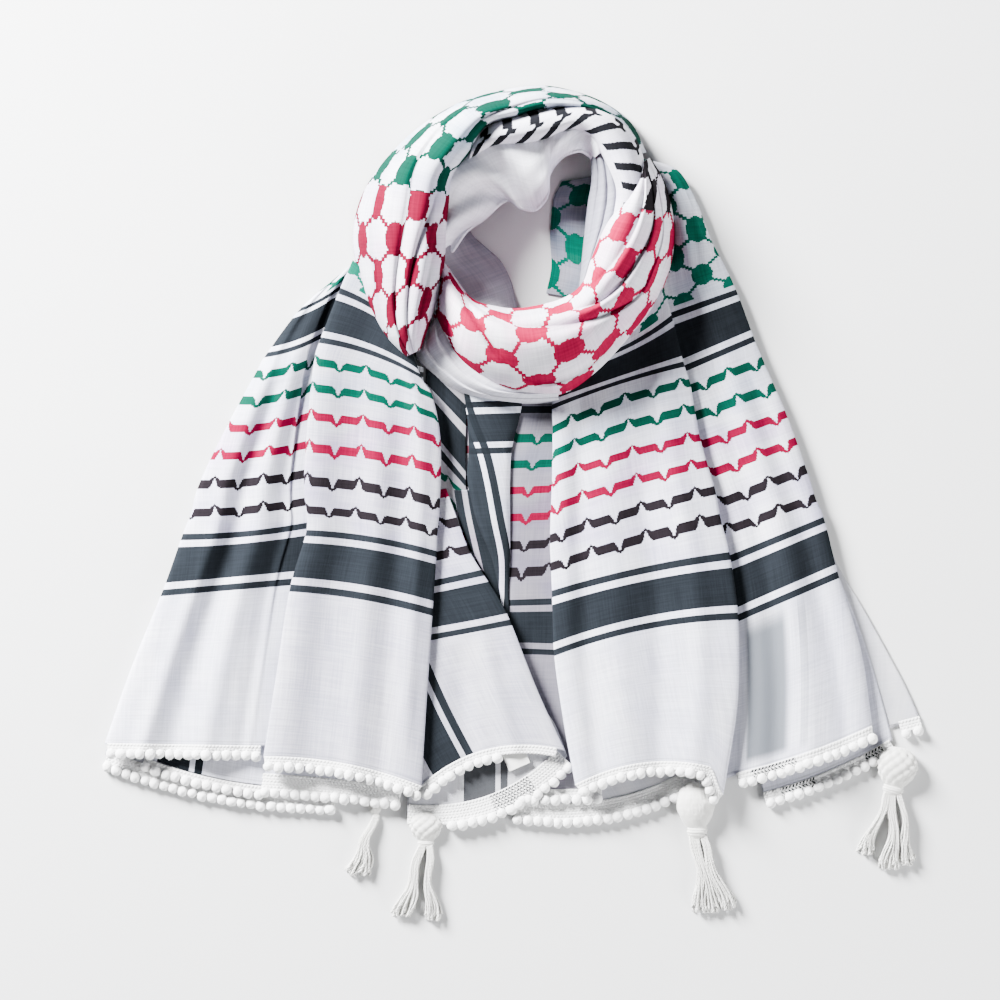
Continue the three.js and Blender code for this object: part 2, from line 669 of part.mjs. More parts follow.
// Pompom trims, each along the hem of one panel or layer: the part of the hem that shows, the
// height that its pompoms rest on, and how many are left out because a tassel hangs there.
const TRIMS = [
  { name: "trim_left_lower", of: "left_under_layers", from: 0.1, to: 0.93, rest: 0, skip: 0 },
  { name: "trim_left_outer", of: "left_outer_pleat", from: 0.36, to: 0.74, rest: 0, skip: 0 },
  { name: "trim_left_inner", of: "left_inner_pleat", from: 0.3, to: 0.84, rest: 0, skip: 0 },
  { name: "trim_centre_fold", of: "centre_front_fold", from: 0.1, to: 0.56, rest: 0, skip: 0 },
  { name: "trim_centre_lower", of: "centre_lower_layer", from: 0, to: 0.92, rest: 1.8, skip: 4 },
  { name: "trim_right_lower", of: "right_under_layers", from: 0.2, to: 0.75, rest: 0, skip: 0 },
  { name: "trim_inner_fold", of: "right_inner_fold", from: 0.66, to: 1, rest: 1.8, skip: 0 },
  { name: "trim_right_main", of: "right_main_panel", from: 0.28, to: 0.72, rest: 0, skip: 0 },
  { name: "trim_right_outer", of: "right_outer_panel", from: 0.24, to: 0.68, rest: 0, skip: 0 },
  { name: "trim_right_second", of: "right_second_layer", from: 0.16, to: 0.8, rest: 0, skip: 0 },
  { name: "trim_right_back", of: "right_back_layer", from: 0.87, to: 1, rest: 0, skip: 0 },
];
const POMPOM_SIDES = 6;
const POMPOM_CLEARANCE = 0.05;
const TAPE_THICKNESS = 1.2;
const TAPE_RISE = 2.4; // of the tape's outer edge, up to the middles of the pompoms
const HEM_STEP = 0.1; // of a column to either side, over which the hem's direction is read
const HEM_SAMPLES = 100; // along a trim, to space its pompoms

function pompom(centre) {
  const ball = new THREE.SphereGeometry(POMPOM_RADIUS, POMPOM_SIDES, 2).rotateX(Math.PI / 2);
  ball.translate(centre.x, centre.y, centre.z);
  const bare = new THREE.BufferGeometry().setAttribute("position", ball.getAttribute("position"));
  bare.setIndex(ball.index);
  return solidOf(bare);
}

function hemTrim({ of, from, to, rest, skip }) {
  const panel = PANELS[of] ?? LAYERS[of];
  const sunk = PANELS[of] ? 0 : CLOTH / 2;
  const first = Math.round(from * panel.columns);
  const last = Math.round(to * panel.columns);
  const at = (place) => {
    const p = panelPoint(panel, 0, clamp(place / panel.columns, 0, 1));
    return new THREE.Vector3(p.x, p.y, p.z - sunk);
  };
  const reached = (place, reach) => {
    const step = at(place + HEM_STEP).sub(at(place - HEM_STEP));
    return at(place).addScaledVector(new THREE.Vector3(step.y, -step.x, 0).normalize(), reach);
  };
  const tape = gridOf(last - first, 1, (t, side) => {
    const p = reached(mix(first, last, t), mix(TRIM_WIDTH, GAP, side));
    if (side === 0) p.z = Math.max(p.z, rest + TAPE_RISE);
    return p;
  });
  let solid = solidOf(wall(tape, TAPE_THICKNESS));
  let run = POMPOM_PITCH / 2;
  let made = 0;
  for (let i = 1; i <= HEM_SAMPLES; i += 1) {
    const before = reached(mix(first, last, (i - 1) / HEM_SAMPLES), POMPOM_REACH);
    const here = reached(mix(first, last, i / HEM_SAMPLES), POMPOM_REACH);
    run += here.distanceTo(before);
    if (run < POMPOM_PITCH) continue;
    run -= POMPOM_PITCH;
    made += 1;
    if (made <= skip) continue;
    here.z = Math.max(here.z, rest + POMPOM_RADIUS + POMPOM_CLEARANCE);
    solid = solid.add(pompom(here));
  }
  return geometryOf(solid);
}
for (const trim of TRIMS) add(trim.name, hemTrim(trim), COTTON);

// Tassels. The head hangs at `x`, `y`, and each bundle of strands ends spread about its tip.
const TASSELS = [
  {
    name: "tassel_left",
    head: { x: -98, y: -241, length: 8, width: 12, height: 5, turn: -74 },
    bundles: [{ tipX: -118, tipY: -279, spread: 19, strands: 12 }],
  },
  {
    name: "tassel_centre",
    head: { x: -66, y: -254, length: 18, width: 20, height: 9, turn: -95 },
    bundles: [
      { tipX: -85, tipY: -309, spread: 17, strands: 10 },
      { tipX: -58, tipY: -312, spread: 11, strands: 8 },
    ],
  },
  {
    name: "tassel_right",
    head: { x: 136, y: -231, length: 34, width: 26, height: 13, turn: -86 },
    bundles: [
      { tipX: 142, tipY: -307, spread: 14, strands: 8 },
      { tipX: 157, tipY: -304, spread: 12, strands: 6 },
    ],
  },
  {
    name: "tassel_corner",
    head: { x: 286, y: -203, length: 33, width: 26, height: 13, turn: -94 },
    bundles: [
      { tipX: 264, tipY: -268, spread: 10, strands: 5 },
      { tipX: 280, tipY: -275, spread: 12, strands: 6 },
      { tipX: 293, tipY: -273, spread: 8, strands: 4 },
    ],
  },
];
const STRAND = {
  root: 0.5,
  radius: 0.85,
  floor: 1.0, // height of the lower layer's middle
  layer: 2.6, // from the lower to the upper layer at the tips
  rootLayer: 1.6,
  rootAlong: 0.45, // of the head's length, from its middle
  rootSpread: 0.3, // of the head's width
  rootHeight: 0.33, // of the head's height
  sway: 1.5,
  uneven: 3, // how far the tips end before or after their bundle's tip
  sides: 3,
  segments: 3,
};
const HEAD_SIDES = 8;
const HEAD_SINK = 0.6; // of what a narrow section would stand over the table
const HEAD_PROFILE = [
  { along: 0, size: 0.35 },
  { along: 0.12, size: 0.75 },
  { along: 0.35, size: 1 },
  { along: 0.6, size: 0.85 },
  { along: 0.85, size: 0.5 },
  { along: 1, size: 0.42 },
];

function tasselHead({ x, y, length, width, height, turn }) {
  const [c, s] = [Math.cos(radians(turn)), Math.sin(radians(turn))];
  const sections = HEAD_PROFILE.map(({ along, size }) =>
    Array.from({ length: HEAD_SIDES }, (_, k) => {
      const round = radians((360 * k) / HEAD_SIDES);
      const side = (Math.cos(round) * size * width) / 2;
      const forth = (along - 0.5) * length;
      const sunk = (1 - size) * HEAD_SINK;
      const z = (height / 2) * (1 + Math.sin(round) * size - sunk);
      return new THREE.Vector3(x + c * forth - s * side, y + s * forth + c * side, Math.max(z, 0));
    }),
  );
  return sweptBody(sections, false);
}

// One strand from the head's knot to its place at the tip. Strands lie in two layers, and they
// share the knot's width in the order in which their bundles lie.
function tasselStrand(head, bundle, k, share) {
  const [c, s] = [Math.cos(radians(head.turn)), Math.sin(radians(head.turn))];
  const inLayer = Math.ceil(bundle.strands / 2);
  const [layer, place] = [k % 2, (Math.floor(k / 2) + 0.5) / inLayer - 0.5];
  const root = new THREE.Vector3(
    head.x + c * head.length * STRAND.rootAlong + (share - 0.5) * head.width * STRAND.rootSpread,
    head.y + s * head.length * STRAND.rootAlong,
    head.height * STRAND.rootHeight + (layer - 0.5) * STRAND.rootLayer,
  );
  const tip = new THREE.Vector3(
    bundle.tipX + (place + (layer * 0.5) / inLayer) * bundle.spread,
    bundle.tipY + STRAND.uneven * Math.sin(5 * k + head.x),
    STRAND.floor + layer * STRAND.layer,
  );
  const sections = Array.from({ length: STRAND.segments + 1 }, (_, i) => {
    const t = i / STRAND.segments;
    const middle = root.clone().lerp(tip, t);
    middle.x += STRAND.sway * Math.sin(Math.PI * t) * Math.sin(3 * t + head.x + bundle.tipX);
    const radius = mix(STRAND.root, STRAND.radius, Math.min(2 * t, 1));
    return Array.from({ length: STRAND.sides }, (_, j) => {
      const round = radians(90 + (360 * j) / STRAND.sides);
      return new THREE.Vector3(
        middle.x + radius * Math.cos(round),
        middle.y,
        middle.z + radius * Math.sin(round),
      );
    });
  });
  return sweptBody(sections, false);
}

for (const { name, head, bundles } of TASSELS) {
  let solid = solidOf(tasselHead(head));
  const all = bundles.reduce((sum, bundle) => sum + bundle.strands, 0);
  let made = 0;
  for (const bundle of bundles) {
    for (let k = 0; k < bundle.strands; k += 1) {
      solid = solid.add(solidOf(tasselStrand(head, bundle, k, (made + 0.5) / all)));
      made += 1;
    }
  }
  add(name, geometryOf(solid), TASSEL_YARN);
}

// The care label, sewn inside the corner of the centre fold and bare on this side.
const LABEL = { x: 1, y: -196, z: 7.1, width: 17, height: 14, thickness: 0.5, turn: 24, tilt: -7.5 };
const label = new THREE.BoxGeometry(LABEL.width, LABEL.height, LABEL.thickness);
label.rotateZ(radians(LABEL.turn)).rotateY(radians(LABEL.tilt));
label.translate(LABEL.x, LABEL.y, LABEL.z);
const bareLabel = new THREE.BufferGeometry().setAttribute("position", label.getAttribute("position"));
bareLabel.setIndex(label.index);
add("care_label", geometryOf(solidOf(bareLabel)), SATIN);

export default scarf;
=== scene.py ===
"""A printed voile scarf, worn as a hijab, laid flat on a table and seen from straight above.

Lengths in the tables are millimetres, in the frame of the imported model. A place in a table is
where the camera sees it against the table, and put_at_height moves it to its real height.
"""
import math
from collections import namedtuple

import bmesh
import bpy
import numpy as np
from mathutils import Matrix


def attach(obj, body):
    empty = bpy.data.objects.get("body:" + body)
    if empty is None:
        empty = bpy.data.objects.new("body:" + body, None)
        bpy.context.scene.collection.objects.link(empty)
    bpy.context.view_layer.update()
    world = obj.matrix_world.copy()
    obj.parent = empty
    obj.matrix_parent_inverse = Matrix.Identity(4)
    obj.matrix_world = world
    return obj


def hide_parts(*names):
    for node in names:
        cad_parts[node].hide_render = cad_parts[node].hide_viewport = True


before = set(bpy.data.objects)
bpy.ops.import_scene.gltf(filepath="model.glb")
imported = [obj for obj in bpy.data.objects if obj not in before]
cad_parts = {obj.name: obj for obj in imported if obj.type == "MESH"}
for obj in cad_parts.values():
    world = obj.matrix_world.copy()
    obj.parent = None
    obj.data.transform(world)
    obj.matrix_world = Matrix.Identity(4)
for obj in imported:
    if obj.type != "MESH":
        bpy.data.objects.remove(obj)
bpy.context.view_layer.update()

MM = 0.001
PHASES = 6.28  # one whole turn, the range of a random phase
CAMERA_X, CAMERA_Y = -10.5, 1.1
VIEW_WIDTH = 750.0  # of the table that the camera sees
LENS, SENSOR = 100.0, 36.0
CAMERA_Z = VIEW_WIDTH * LENS / SENSOR


def make_camera():
    data = bpy.data.cameras.new("camera")
    data.lens = LENS
    data.sensor_width = SENSOR
    data.clip_end = 20.0
    camera = link(bpy.data.objects.new("camera", data))
    camera.location = (CAMERA_X * MM, CAMERA_Y * MM, CAMERA_Z * MM)
    bpy.context.scene.camera = camera


def put_at_height(points):
    """Points that the camera sees over their x, y on the table, moved to their own heights."""
    moved = np.array(points, dtype=float)
    nearer = 1.0 - moved[..., 2] / CAMERA_Z
    moved[..., 0] = CAMERA_X + (moved[..., 0] - CAMERA_X) * nearer
    moved[..., 1] = CAMERA_Y + (moved[..., 1] - CAMERA_Y) * nearer
    return moved


# Reading tables

def read_table(rows, places):
    """The rows of a table at places from 0 to its last row, along smooth curves."""
    rows = np.asarray(rows, dtype=float)
    places = np.clip(np.asarray(places, dtype=float), 0, len(rows) - 1)
    i = np.minimum(places.astype(int), len(rows) - 2)
    t = (places - i)[..., None]
    before, here = rows[np.maximum(i - 1, 0)], rows[i]
    there, after = rows[i + 1], rows[np.minimum(i + 2, len(rows) - 1)]
    bend = 2 * before - 5 * here + 4 * there - after
    turn = 3 * (here - there) + after - before
    return here + 0.5 * t * (there - before + t * (bend + t * turn))


def read_columns(kind, rows, places):
    """The named columns of a table, each read at places along it and stood upright."""
    table = read_table([kind(*row) for row in rows], places)
    return kind(*(column[:, None] for column in table.T))


def ripple(u, v, seed):
    """Soft uneven waves over a surface, between about -1 and 1, the same in every run."""
    rng = np.random.default_rng(seed)
    total = np.zeros(np.broadcast(u, v).shape)
    count = 9
    for _ in range(count):
        across, along = rng.uniform(0.6, 2.2), rng.uniform(0.15, 0.8)
        total += rng.uniform(0.4, 1.0) * np.sin(
            across * u + along * v * rng.choice([-1, 1]) + rng.uniform(0, PHASES)
        )
    return total / count * 1.8


# Meshes

def link(obj):
    bpy.context.scene.collection.objects.link(obj)
    return obj


def grid_faces(rows, cols):
    i = np.arange(rows - 1)[:, None] * cols + np.arange(cols - 1)[None, :]
    i = i.ravel()
    return np.stack([i, i + 1, i + cols + 1, i + cols], axis=1)


def round_faces(rounds, sides):
    """The faces of a round body: its rings, then those to a point at the middle of each end."""
    faces = []
    ends = rounds * sides
    for i in range(rounds - 1):
        for j in range(sides):
            k = (j + 1) % sides
            faces.append([i * sides + j, i * sides + k, (i + 1) * sides + k, (i + 1) * sides + j])
    for j in range(sides):
        k = (j + 1) % sides
        faces.append([k, j, ends])
        faces.append([ends - sides + j, ends - sides + k, ends + 1])
    return faces


def cloth_object(name, points, cloth, jumps=None):
    """A sheet through a grid of points in mm. cloth holds each point's place on the printed
    cloth (across, along), and jumps what a column of faces adds to across, at a hidden fold."""
    rows, cols = points.shape[:2]
    faces = grid_faces(rows, cols)
    mesh = bpy.data.meshes.new(name)
    mesh.from_pydata((points.reshape(-1, 3) * MM).tolist(), [], faces.tolist())
    layer = mesh.uv_layers.new(name="cloth")
    place = cloth.reshape(-1, 2)[faces.ravel()].copy()
    if jumps is not None:
        per_face = np.tile(np.asarray(jumps), rows - 1)
        place[:, 0] += np.repeat(per_face, 4)
    layer.data.foreach_set("uv", (place * MM).ravel())
    mesh.polygons.foreach_set("use_smooth", [True] * len(faces))
    mesh.update()
    return link(bpy.data.objects.new(name, mesh))


def across_lengths(points):
    step = np.linalg.norm(np.diff(points, axis=1), axis=-1)
    return np.concatenate([np.zeros((len(points), 1)), np.cumsum(step, axis=1)], axis=1)


# Tails. A station is one line of the print across a panel: how far from the hem it is on the
# cloth, where its left and right ends lie, where on the print its left end is, how far it bows
# towards the hem, and how much of the pleat's loft is left. A section is how the panel lies from
# side to side: a share of its width, how far past it, and how high. Without loft the cloth comes
# down to the knee. stretch is how fast the print runs across, 1 unless it is given, anchor is 1
# where the print is measured from the right edge, and corner is the share of the hem from which
# it hangs further out, and how far its end does.
Station = namedtuple(
    "Station", "cloth left_x left_y right_x right_y print bow loft", defaults=(0, 1.0),
)
Place = namedtuple("Place", "share shift height")

PANELS = dict(
    left_outer_pleat=dict(knee=6.0, rows=170, cols=86, stations=(
        (0, -307, -182, -186, -184, -50),
        (58, -287, -125, -177, -121, -32),
        (114.5, -264, -68.6, -168, -60.4, -17),
        (155.5, -249, -26.6, -157.5, -18.4, -6, 2),
        (176, -242, -8.6, -158, -0.4, 0, 2),
        (197.4, -236, 13, -158, 20.6, 7, 2),
        (240.2, -216, 55, -154.5, 64, 18.7, 3),
        (283, -194, 95.6, -150, 106, 30.5, 3, 0.9),
        (302.5, -186, 109.9, -146, 123.4, 36, 2, 0.8),
        (343.5, -161, 143.6, -133, 158.6, 50, 1, 0.5),
        (371, -136, 166, -114, 184, 60, 0, 0.2),
    ), section=(
        (0, 6, 3), (0, 1, 4), (0, 0, 7), (0, 4, 10.5), (0.12, 4, 12.5), (0.35, 0, 11),
        (0.6, 0, 12), (0.85, 0, 10.5), (1, -8, 7.5), (1, 3, 5.8), (1, 12, 5.6),
    )),
    left_inner_pleat=dict(knee=8.8, rows=170, cols=94, stations=(
        (0, -188, -192, -70, -214, -30, -6),
        (58, -178, -128, -66, -149, -28, -3),
        (114.5, -168, -64.9, -61.5, -82.9, -24, -3),
        (155.5, -156, -23.6, -58.5, -39.4, -20, -3),
        (176, -156, -6.4, -57.8, -22.9, -20, -3),
        (197.4, -157.5, 15.4, -56, -1.1, -24.5, -3),
        (240.2, -154.5, 64, -55.5, 46, -24.5, -3),
        (283, -150, 104.6, -61.5, 79, -22, -4, 0.9),
        (302.5, -145.5, 121, -70, 94, -22, -4, 0.8),
        (343.5, -131, 158, -80, 124, -22, -4, 0.4),
        (371, -121, 181, -82, 148, -22, 0, 0.3),
    ), section=(
        (0, 9, 8.6), (0, 3, 8.7), (0, 0, 11), (0, 2, 14.5), (0.08, 2, 16.5), (0.25, 0, 15.5),
        (0.45, 0, 13), (0.7, 0, 14), (0.9, 0, 14.5), (1, -1, 12.8), (1, 0, 10.4), (1, -5, 8.9),
    )),
    right_main_panel=dict(knee=8.8, stretch=0.917, rows=170, cols=94, corner=(0.88, -3, -17), stations=(
        (0, 46, -213, 160, -203, -62, -12),
        (58, 37, -164, 168, -147, -60, -9),
        (114.5, 30, -113.6, 168, -86, -58, -6),
        (155.5, 28.5, -69.4, 162, -40.9, -54, -3),
        (176, 27.8, -49, 155, -13, -52.4, -2),
        (197.4, 27, -28, 150.8, 8.6, -50, -2),
        (240.2, 28.5, 16, 139.5, 48, -42, -3),
        (283, 29, 53.6, 132, 89, -36.4, -4, 0.9),
        (302.5, 28.5, 70.9, 127.5, 103, -34, -2, 0.8),
        (343.5, 30, 98.6, 118.5, 137.6, -32, 6, 0.4),
        (371, 34, 118, 112, 160, -32, 8, 0.3),
    ), section=(
        (0, 8, 8.7), (0, 2, 9), (0, 0, 11.5), (0, 3, 15), (0.1, 2, 17), (0.35, 0, 15),
        (0.6, 0, 15.5), (0.85, 0, 17.5), (1, -3, 16), (1, 0, 13), (1, -2, 10.2), (1, -8, 9),
    )),
    right_outer_panel=dict(knee=6.0, stretch=0.93, rows=222, cols=80, stations=(
        (0, 164, -206, 268.5, -170, 1530, 3),
        (58, 168, -146, 260, -112, 1532, 1),
        (114.5, 168, -87.4, 243, -55, 1534),
        (155.5, 162, -43, 232.5, -13.9, 1536),
        (176, 159, -22, 225.8, 2.6, 1538),
        (197.4, 153, -1.9, 219, 24.4, 1539),
        (240.2, 140, 42.4, 204, 65.6, 1542),
        (283, 129.8, 83.6, 186.8, 105.4, 1547),
        (302.5, 127.5, 99.4, 180, 121.9, 1548),
        (343.5, 119.3, 139.9, 167, 157, 1550),
        (375, 115, 166, 156, 180, 1552),
        (402, 114, 196, 147, 198, 1554),
        (428, 112, 222, 136.5, 225, 1555),
        (456, 104, 244, 122, 249, 1557),
        (480, 88, 254, 96, 257, 1560),
    ), section=(
        (0, -9, 5.8), (0, -1, 6), (0.02, 5, 7.5), (0.25, 0, 10), (0.5, 0, 12.5), (0.8, 0, 13),
        (0.97, -3, 11.5), (1, 0, 8.5), (1, -1, 6), (1, -5, 4.6),
    )),
    right_inner_fold=dict(knee=2.6, rows=126, cols=28, stations=(
        (0, 3, -217, 66, -216, 10, 0, 0.2),
        (50, 6, -165, 52, -166, 4, 0, 0.2),
        (112, -5, -114, 46, -116, -11, 0, 0.8),
        (160, -7, -72, 44, -70, -13),
        (176, -7, -53, 44, -51, -14),
        (197.4, -7, -33, 43, -31, -16),
        (240.2, -7, 8, 43, 10, -19),
        (283, -5, 47, 44, 48, -24),
        (302.5, 0, 69, 45, 69, -23),
        (322, 3, 88, 46, 88, -23),
    ), section=((0, 0, 2.6), (0.03, 0, 4.4), (0.2, 0, 5.6), (0.6, 0, 4.8), (1, 0, 5.2))),
    centre_front_fold=dict(knee=6.7, rows=126, cols=80, anchor=1, stations=(
        (0, -77, -221, 38, -187, 1073, -17),
        (56, -79, -164, 17, -141, 1073, -8),
        (113, -77, -106, -2, -92, 1073),
        (135, -75, -84, -12, -72, 1073, 0, 0.95),
        (156, -74, -64, -24, -53, 1073, 0, 0.8),
        (176, -73, -44, -34, -36, 1073, 0, 0.5),
        (197.4, -72, -22, -42, -15, 1073, 0, 0.25),
        (222, -68, 7, -51, 10, 1073, 0, 0.1),
    ), section=(
        (0, 0, 6.7), (0.2, 0, 6.9), (0.5, 0, 9), (0.75, 0, 11.4), (0.97, -4, 13),
        (1, 0, 11.6), (1, -2, 9.8), (1, -6, 9.4),
    )),
    centre_lower_layer=dict(knee=2.6, rows=52, cols=80, stations=(
        (0, -80, -236, 40, -191, 926, 16),
        (40, -80, -200, 30, -166, 924, 2),
        (76, -80, -165, 16, -150, 922),
    ), section=(
        (0, 0, 2.6), (0.48, 0, 2.8), (0.66, 0, 5), (0.8, 0, 7.3), (1, 0, 7.3),
    )),
    centre_twist=dict(knee=5.6, rows=112, cols=44, stations=(
        (179, -8, -86, -3.5, -85, 997, 0, 0.1),
        (199, -11, -66, -3.8, -65, 993, 0, 0.2),
        (223, -17, -42, -3, -41, 986, 0, 0.7),
        (250, -28, -15, -3, -14, 980),
        (281, -35, 16, -3, 16, 979),
        (304, -34, 39, -1.5, 40, 986),
        (331, -35, 61, 4, 62, 994),
        (356, -38, 84, 8, 86, 999, 0, 0.8),
    ), section=((0, 0, 5.6), (0.04, 0, 7.6), (0.2, 0, 9.6), (0.5, 0, 10.6), (0.85, 0, 9.6), (1, 0, 7.4))),
    centre_deep_fold=dict(knee=20.0, rows=88, cols=44, stations=(
        (156, -66, -100, -30, -112, 118),
        (200, -66, -52, -33, -66, 118),
        (240, -66, -11.6, -36, -27, 118),
        (261.6, -66, 8.6, -36, -9.4, 118),
        (283, -66, 28.6, -36, 4.6, 118),
        (302.5, -66, 47.6, -36, 11.9, 118),
        (307.5, -66, 56, -36, 19.4, 118),
        (338.5, -66, 84.7, -36, 51.8, 118),
        (349, -66, 112, -34, 84, 118),
    ), section=((0, 0, 2.6), (0.2, 0, 3.4), (0.45, 0, 2.8), (0.7, 0, 3.4), (1, 0, 2.8))),
    centre_border_fold=dict(knee=20.0, stretch=-1.0, rows=52, cols=22, stations=(
        (179, -12.8, -74, -6.8, -74, 990),
        (200, -20, -57.4, -8.3, -57.4, 992),
        (230, -34, -32.6, -13.5, -32.6, 1000),
        (255, -42, -10.1, -21, -10.1, 1003),
        (280, -45, 8.6, -28.5, 8.6, 1003),
    ), section=((0, 0, 4.0), (0.1, 0, 4.9), (0.5, 0, 4.7), (1, 0, 4.4))),
    right_second_layer=dict(knee=2.6, rows=60, cols=36, stations=(
        (0, 187, -220, 284, -179, 0, 4),
        (50, 175, -150, 269, -125, 0),
        (85, 170, -95, 257, -90, 0),
        (106, 165, -45, 239, -45, 0),
    ), section=((0, 0, 2.6), (0.5, 0, 2.9), (1, 0, 2.6))),
    left_fold_layer=dict(knee=0.0, rows=40, cols=50, stations=(
        (0, -277, -191.5, -187, -213, 958, 3),
        (60, -270, -136, -184, -156, 958),
    ), section=((0, 0, 1.8), (0.15, 0, 4), (0.6, 0, 5), (1, 0, 4))),
    left_inner_layer=dict(knee=0.0, rows=40, cols=64, stations=(
        (0, -190, -211, -85, -221, 10, -1),
        (60, -188, -150, -80, -160, 10),
    ), section=((0, 0, 2.2), (0.1, 0, 5), (0.6, 0, 4), (1, 0, 5))),
    left_under_layers=dict(knee=0.0, rows=44, cols=64, stations=(
        (0, -307, -190, -134, -224, -60, 9),
        (60, -286, -128, -80, -150, -60),
        (112, -260, -69, -68, -80, -60),
        (150, -243, -25, -68, -30, 0),
        (210, -221, 33, -68, 30, 0),
        (290, -182, 109, -68, 86, 0),
        (350, -124, 176, -68, 130, 0),
    ), section=((0, 0, 1.5), (0.3, 0, 1.6), (0.7, 0, 1.4), (1, 0, 1.5))),
    right_under_layers=dict(knee=0.0, rows=44, cols=64, stations=(
        (0, -20, -226, 140, -204, 0, 17),
        (60, -66, -140, 148, -146, 0),
        (112, -67, -80, 148, -80, 0),
        (160, -67, -30, 142, -30, 0),
        (210, -67, 30, 134, 30, 0),
        (270, -67, 86, 122, 90, 0),
        (310, -60, 120, 114, 130, 0),
    ), section=((0, 0, 1.5), (0.4, 0, 1.6), (1, 0, 1.5))),
    right_back_layer=dict(knee=0.0, rows=44, cols=44, stations=(
        (0, 152, -205, 305, -164, 0),
        (46, 153, -150, 292, -135, 0),
        (84, 150, -85, 262, -80, 0),
        (106, 144, -40, 241, -44, 0),
        (210, 138, 25, 206, 35, 0),
        (290, 124, 100, 172, 118, 0),
        (360, 110, 170, 140, 190, 0),
        (410, 100, 215, 124, 228, 0),
    ), section=((0, 0, 1.5), (1, 0, 1.5))),
)

# Soft folds that run along a panel: where across it they are at the hem and at the loop, how
# wide and high, and the stretch of cloth between whose ends they fade in and out.
Fold = namedtuple("Fold", "hem top width rise start end")
FOLDS = {
    "left_outer_pleat": (
        Fold(0.24, 0.3, 8, 4.0, -60, 330),
        Fold(0.42, 0.45, 10, -3.2, -60, 300),
        Fold(0.62, 0.6, 9, 3.6, -60, 340),
        Fold(0.85, 0.8, 7, -2.6, -60, 300),
    ),
    "left_inner_pleat": (
        Fold(0.28, 0.3, 13, -3.0, -60, 330),
        Fold(0.55, 0.5, 9, 3.2, -60, 260),
        Fold(0.74, 0.68, 8, -2.6, -60, 300),
        Fold(0.88, 0.84, 6, 2.4, 0, 340),
    ),
    "right_main_panel": (
        Fold(0.16, 0.2, 8, -3.4, -60, 330),
        Fold(0.34, 0.4, 12, 3.0, -60, 300),
        Fold(0.56, 0.6, 9, -3.2, -60, 260),
        Fold(0.78, 0.8, 9, 3.0, -60, 330),
    ),
    "right_outer_panel": (
        Fold(0.3, 0.36, 9, -3.2, -60, 330),
        Fold(0.55, 0.56, 10, 3.2, -60, 420),
        Fold(0.8, 0.75, 8, -2.6, -60, 300),
        Fold(0.5, 0.45, 5, 2.8, 330, 520),
    ),
    "centre_front_fold": (
        Fold(0.42, 0.5, 9, -2.4, -60, 120),
        Fold(0.7, 0.7, 7, 2.6, -60, 140),
    ),
}
FOLD_TOP, FOLD_FADE = 340.0, 60.0  # along the cloth: the end of a fold's slant, and its fading
CORNER_DEPTH = 45.0  # of the cloth that goes along where the end of a hem hangs out
WAVE_RISE, WAVES_ACROSS, WAVES_ALONG = 0.5, 13.0, 22.0


def smooth_step(x, low, high):
    t = np.clip((x - low) / (high - low), 0, 1)
    return t * t * (3 - 2 * t)


def panel_points(name):
    """The grid of a panel and its places on the print."""
    panel = PANELS[name]
    stations, section = panel["stations"], panel["section"]
    at = read_columns(Station, stations, np.linspace(0, len(stations) - 1, panel["rows"]))
    place = read_columns(Place, section, np.linspace(0, len(section) - 1, panel["cols"]))
    share, shift, height = (column.T for column in place)
    cloth, loft = at.cloth, at.loft
    dx, dy = at.right_x - at.left_x, at.right_y - at.left_y
    width = np.hypot(dx, dy)
    s = share + shift / width * np.maximum(loft, 0.5)
    inside = np.clip(s, 0, 1)
    bowed = at.bow * 4 * inside * (1 - inside)
    z = height - np.maximum(height - panel["knee"], 0) * (1 - loft)
    for fold in FOLDS.get(name, ()):
        centre = fold.hem + (fold.top - fold.hem) * np.clip(cloth / FOLD_TOP, 0, 1)
        fade_in = smooth_step(cloth, fold.start, fold.start + FOLD_FADE)
        fade = fade_in * (1 - smooth_step(cloth, fold.end - FOLD_FADE, fold.end))
        z = z + fold.rise * fade * loft * np.exp(-(((s - centre) * width / fold.width) ** 2))
    x = at.left_x + dx * s + dy / width * bowed
    y = at.left_y + dy * s - dx / width * bowed
    if "corner" in panel:
        first, out_x, out_y = panel["corner"]
        hang = smooth_step(inside, first, 1.0) * (1 - smooth_step(cloth, 0, CORNER_DEPTH))
        x, y = x + out_x * hang, y + out_y * hang
    # Small waves, gone at the edges and low where the loft is
    waves = ripple(s * width / WAVES_ACROSS, cloth / WAVES_ALONG, len(name) * 7)
    edge = np.clip(np.minimum(s, 1 - s) * 8, 0, 1)
    z = z + WAVE_RISE * waves * edge * np.clip(loft, 0.3, 1)
    points = np.stack([x, y, z + 0 * x], axis=-1)
    lengths = across_lengths(points)
    # The print is measured from the panel's left edge, or from its right one
    from_edge = np.abs(share - panel.get("anchor", 0)).ravel() + np.abs(shift).ravel() / 200
    zero = int(np.argmin(from_edge))
    across = at.print + (lengths - lengths[:, zero : zero + 1]) * panel.get("stretch", 1.0)
    return put_at_height(points), np.stack([across, cloth + 0 * across], axis=-1)


# The neck loop. Each stretch is a strip of cloth that runs round it. A turn is one place along
# the strip: its inner and outer edges, how far its middle stands over them, and its place on the
# cloth. Each crease is the share of the width, from the inner edge, at which a pleat tucks in.
# fold is how high the pleats stand, lean is smaller where their tops are nearer the inner edge,
# tuck is the cloth that each hides, and under_in and under_out are how far an edge goes on under
# the loop. Loose folds have a height, a pitch in turns and a slant, and sharp pleats a height and
# a count across the strip. The lip is the height of the rolled edge.
Turn = namedtuple("Turn", "in_x in_y in_z out_x out_y out_z crown cloth print", defaults=(0,))

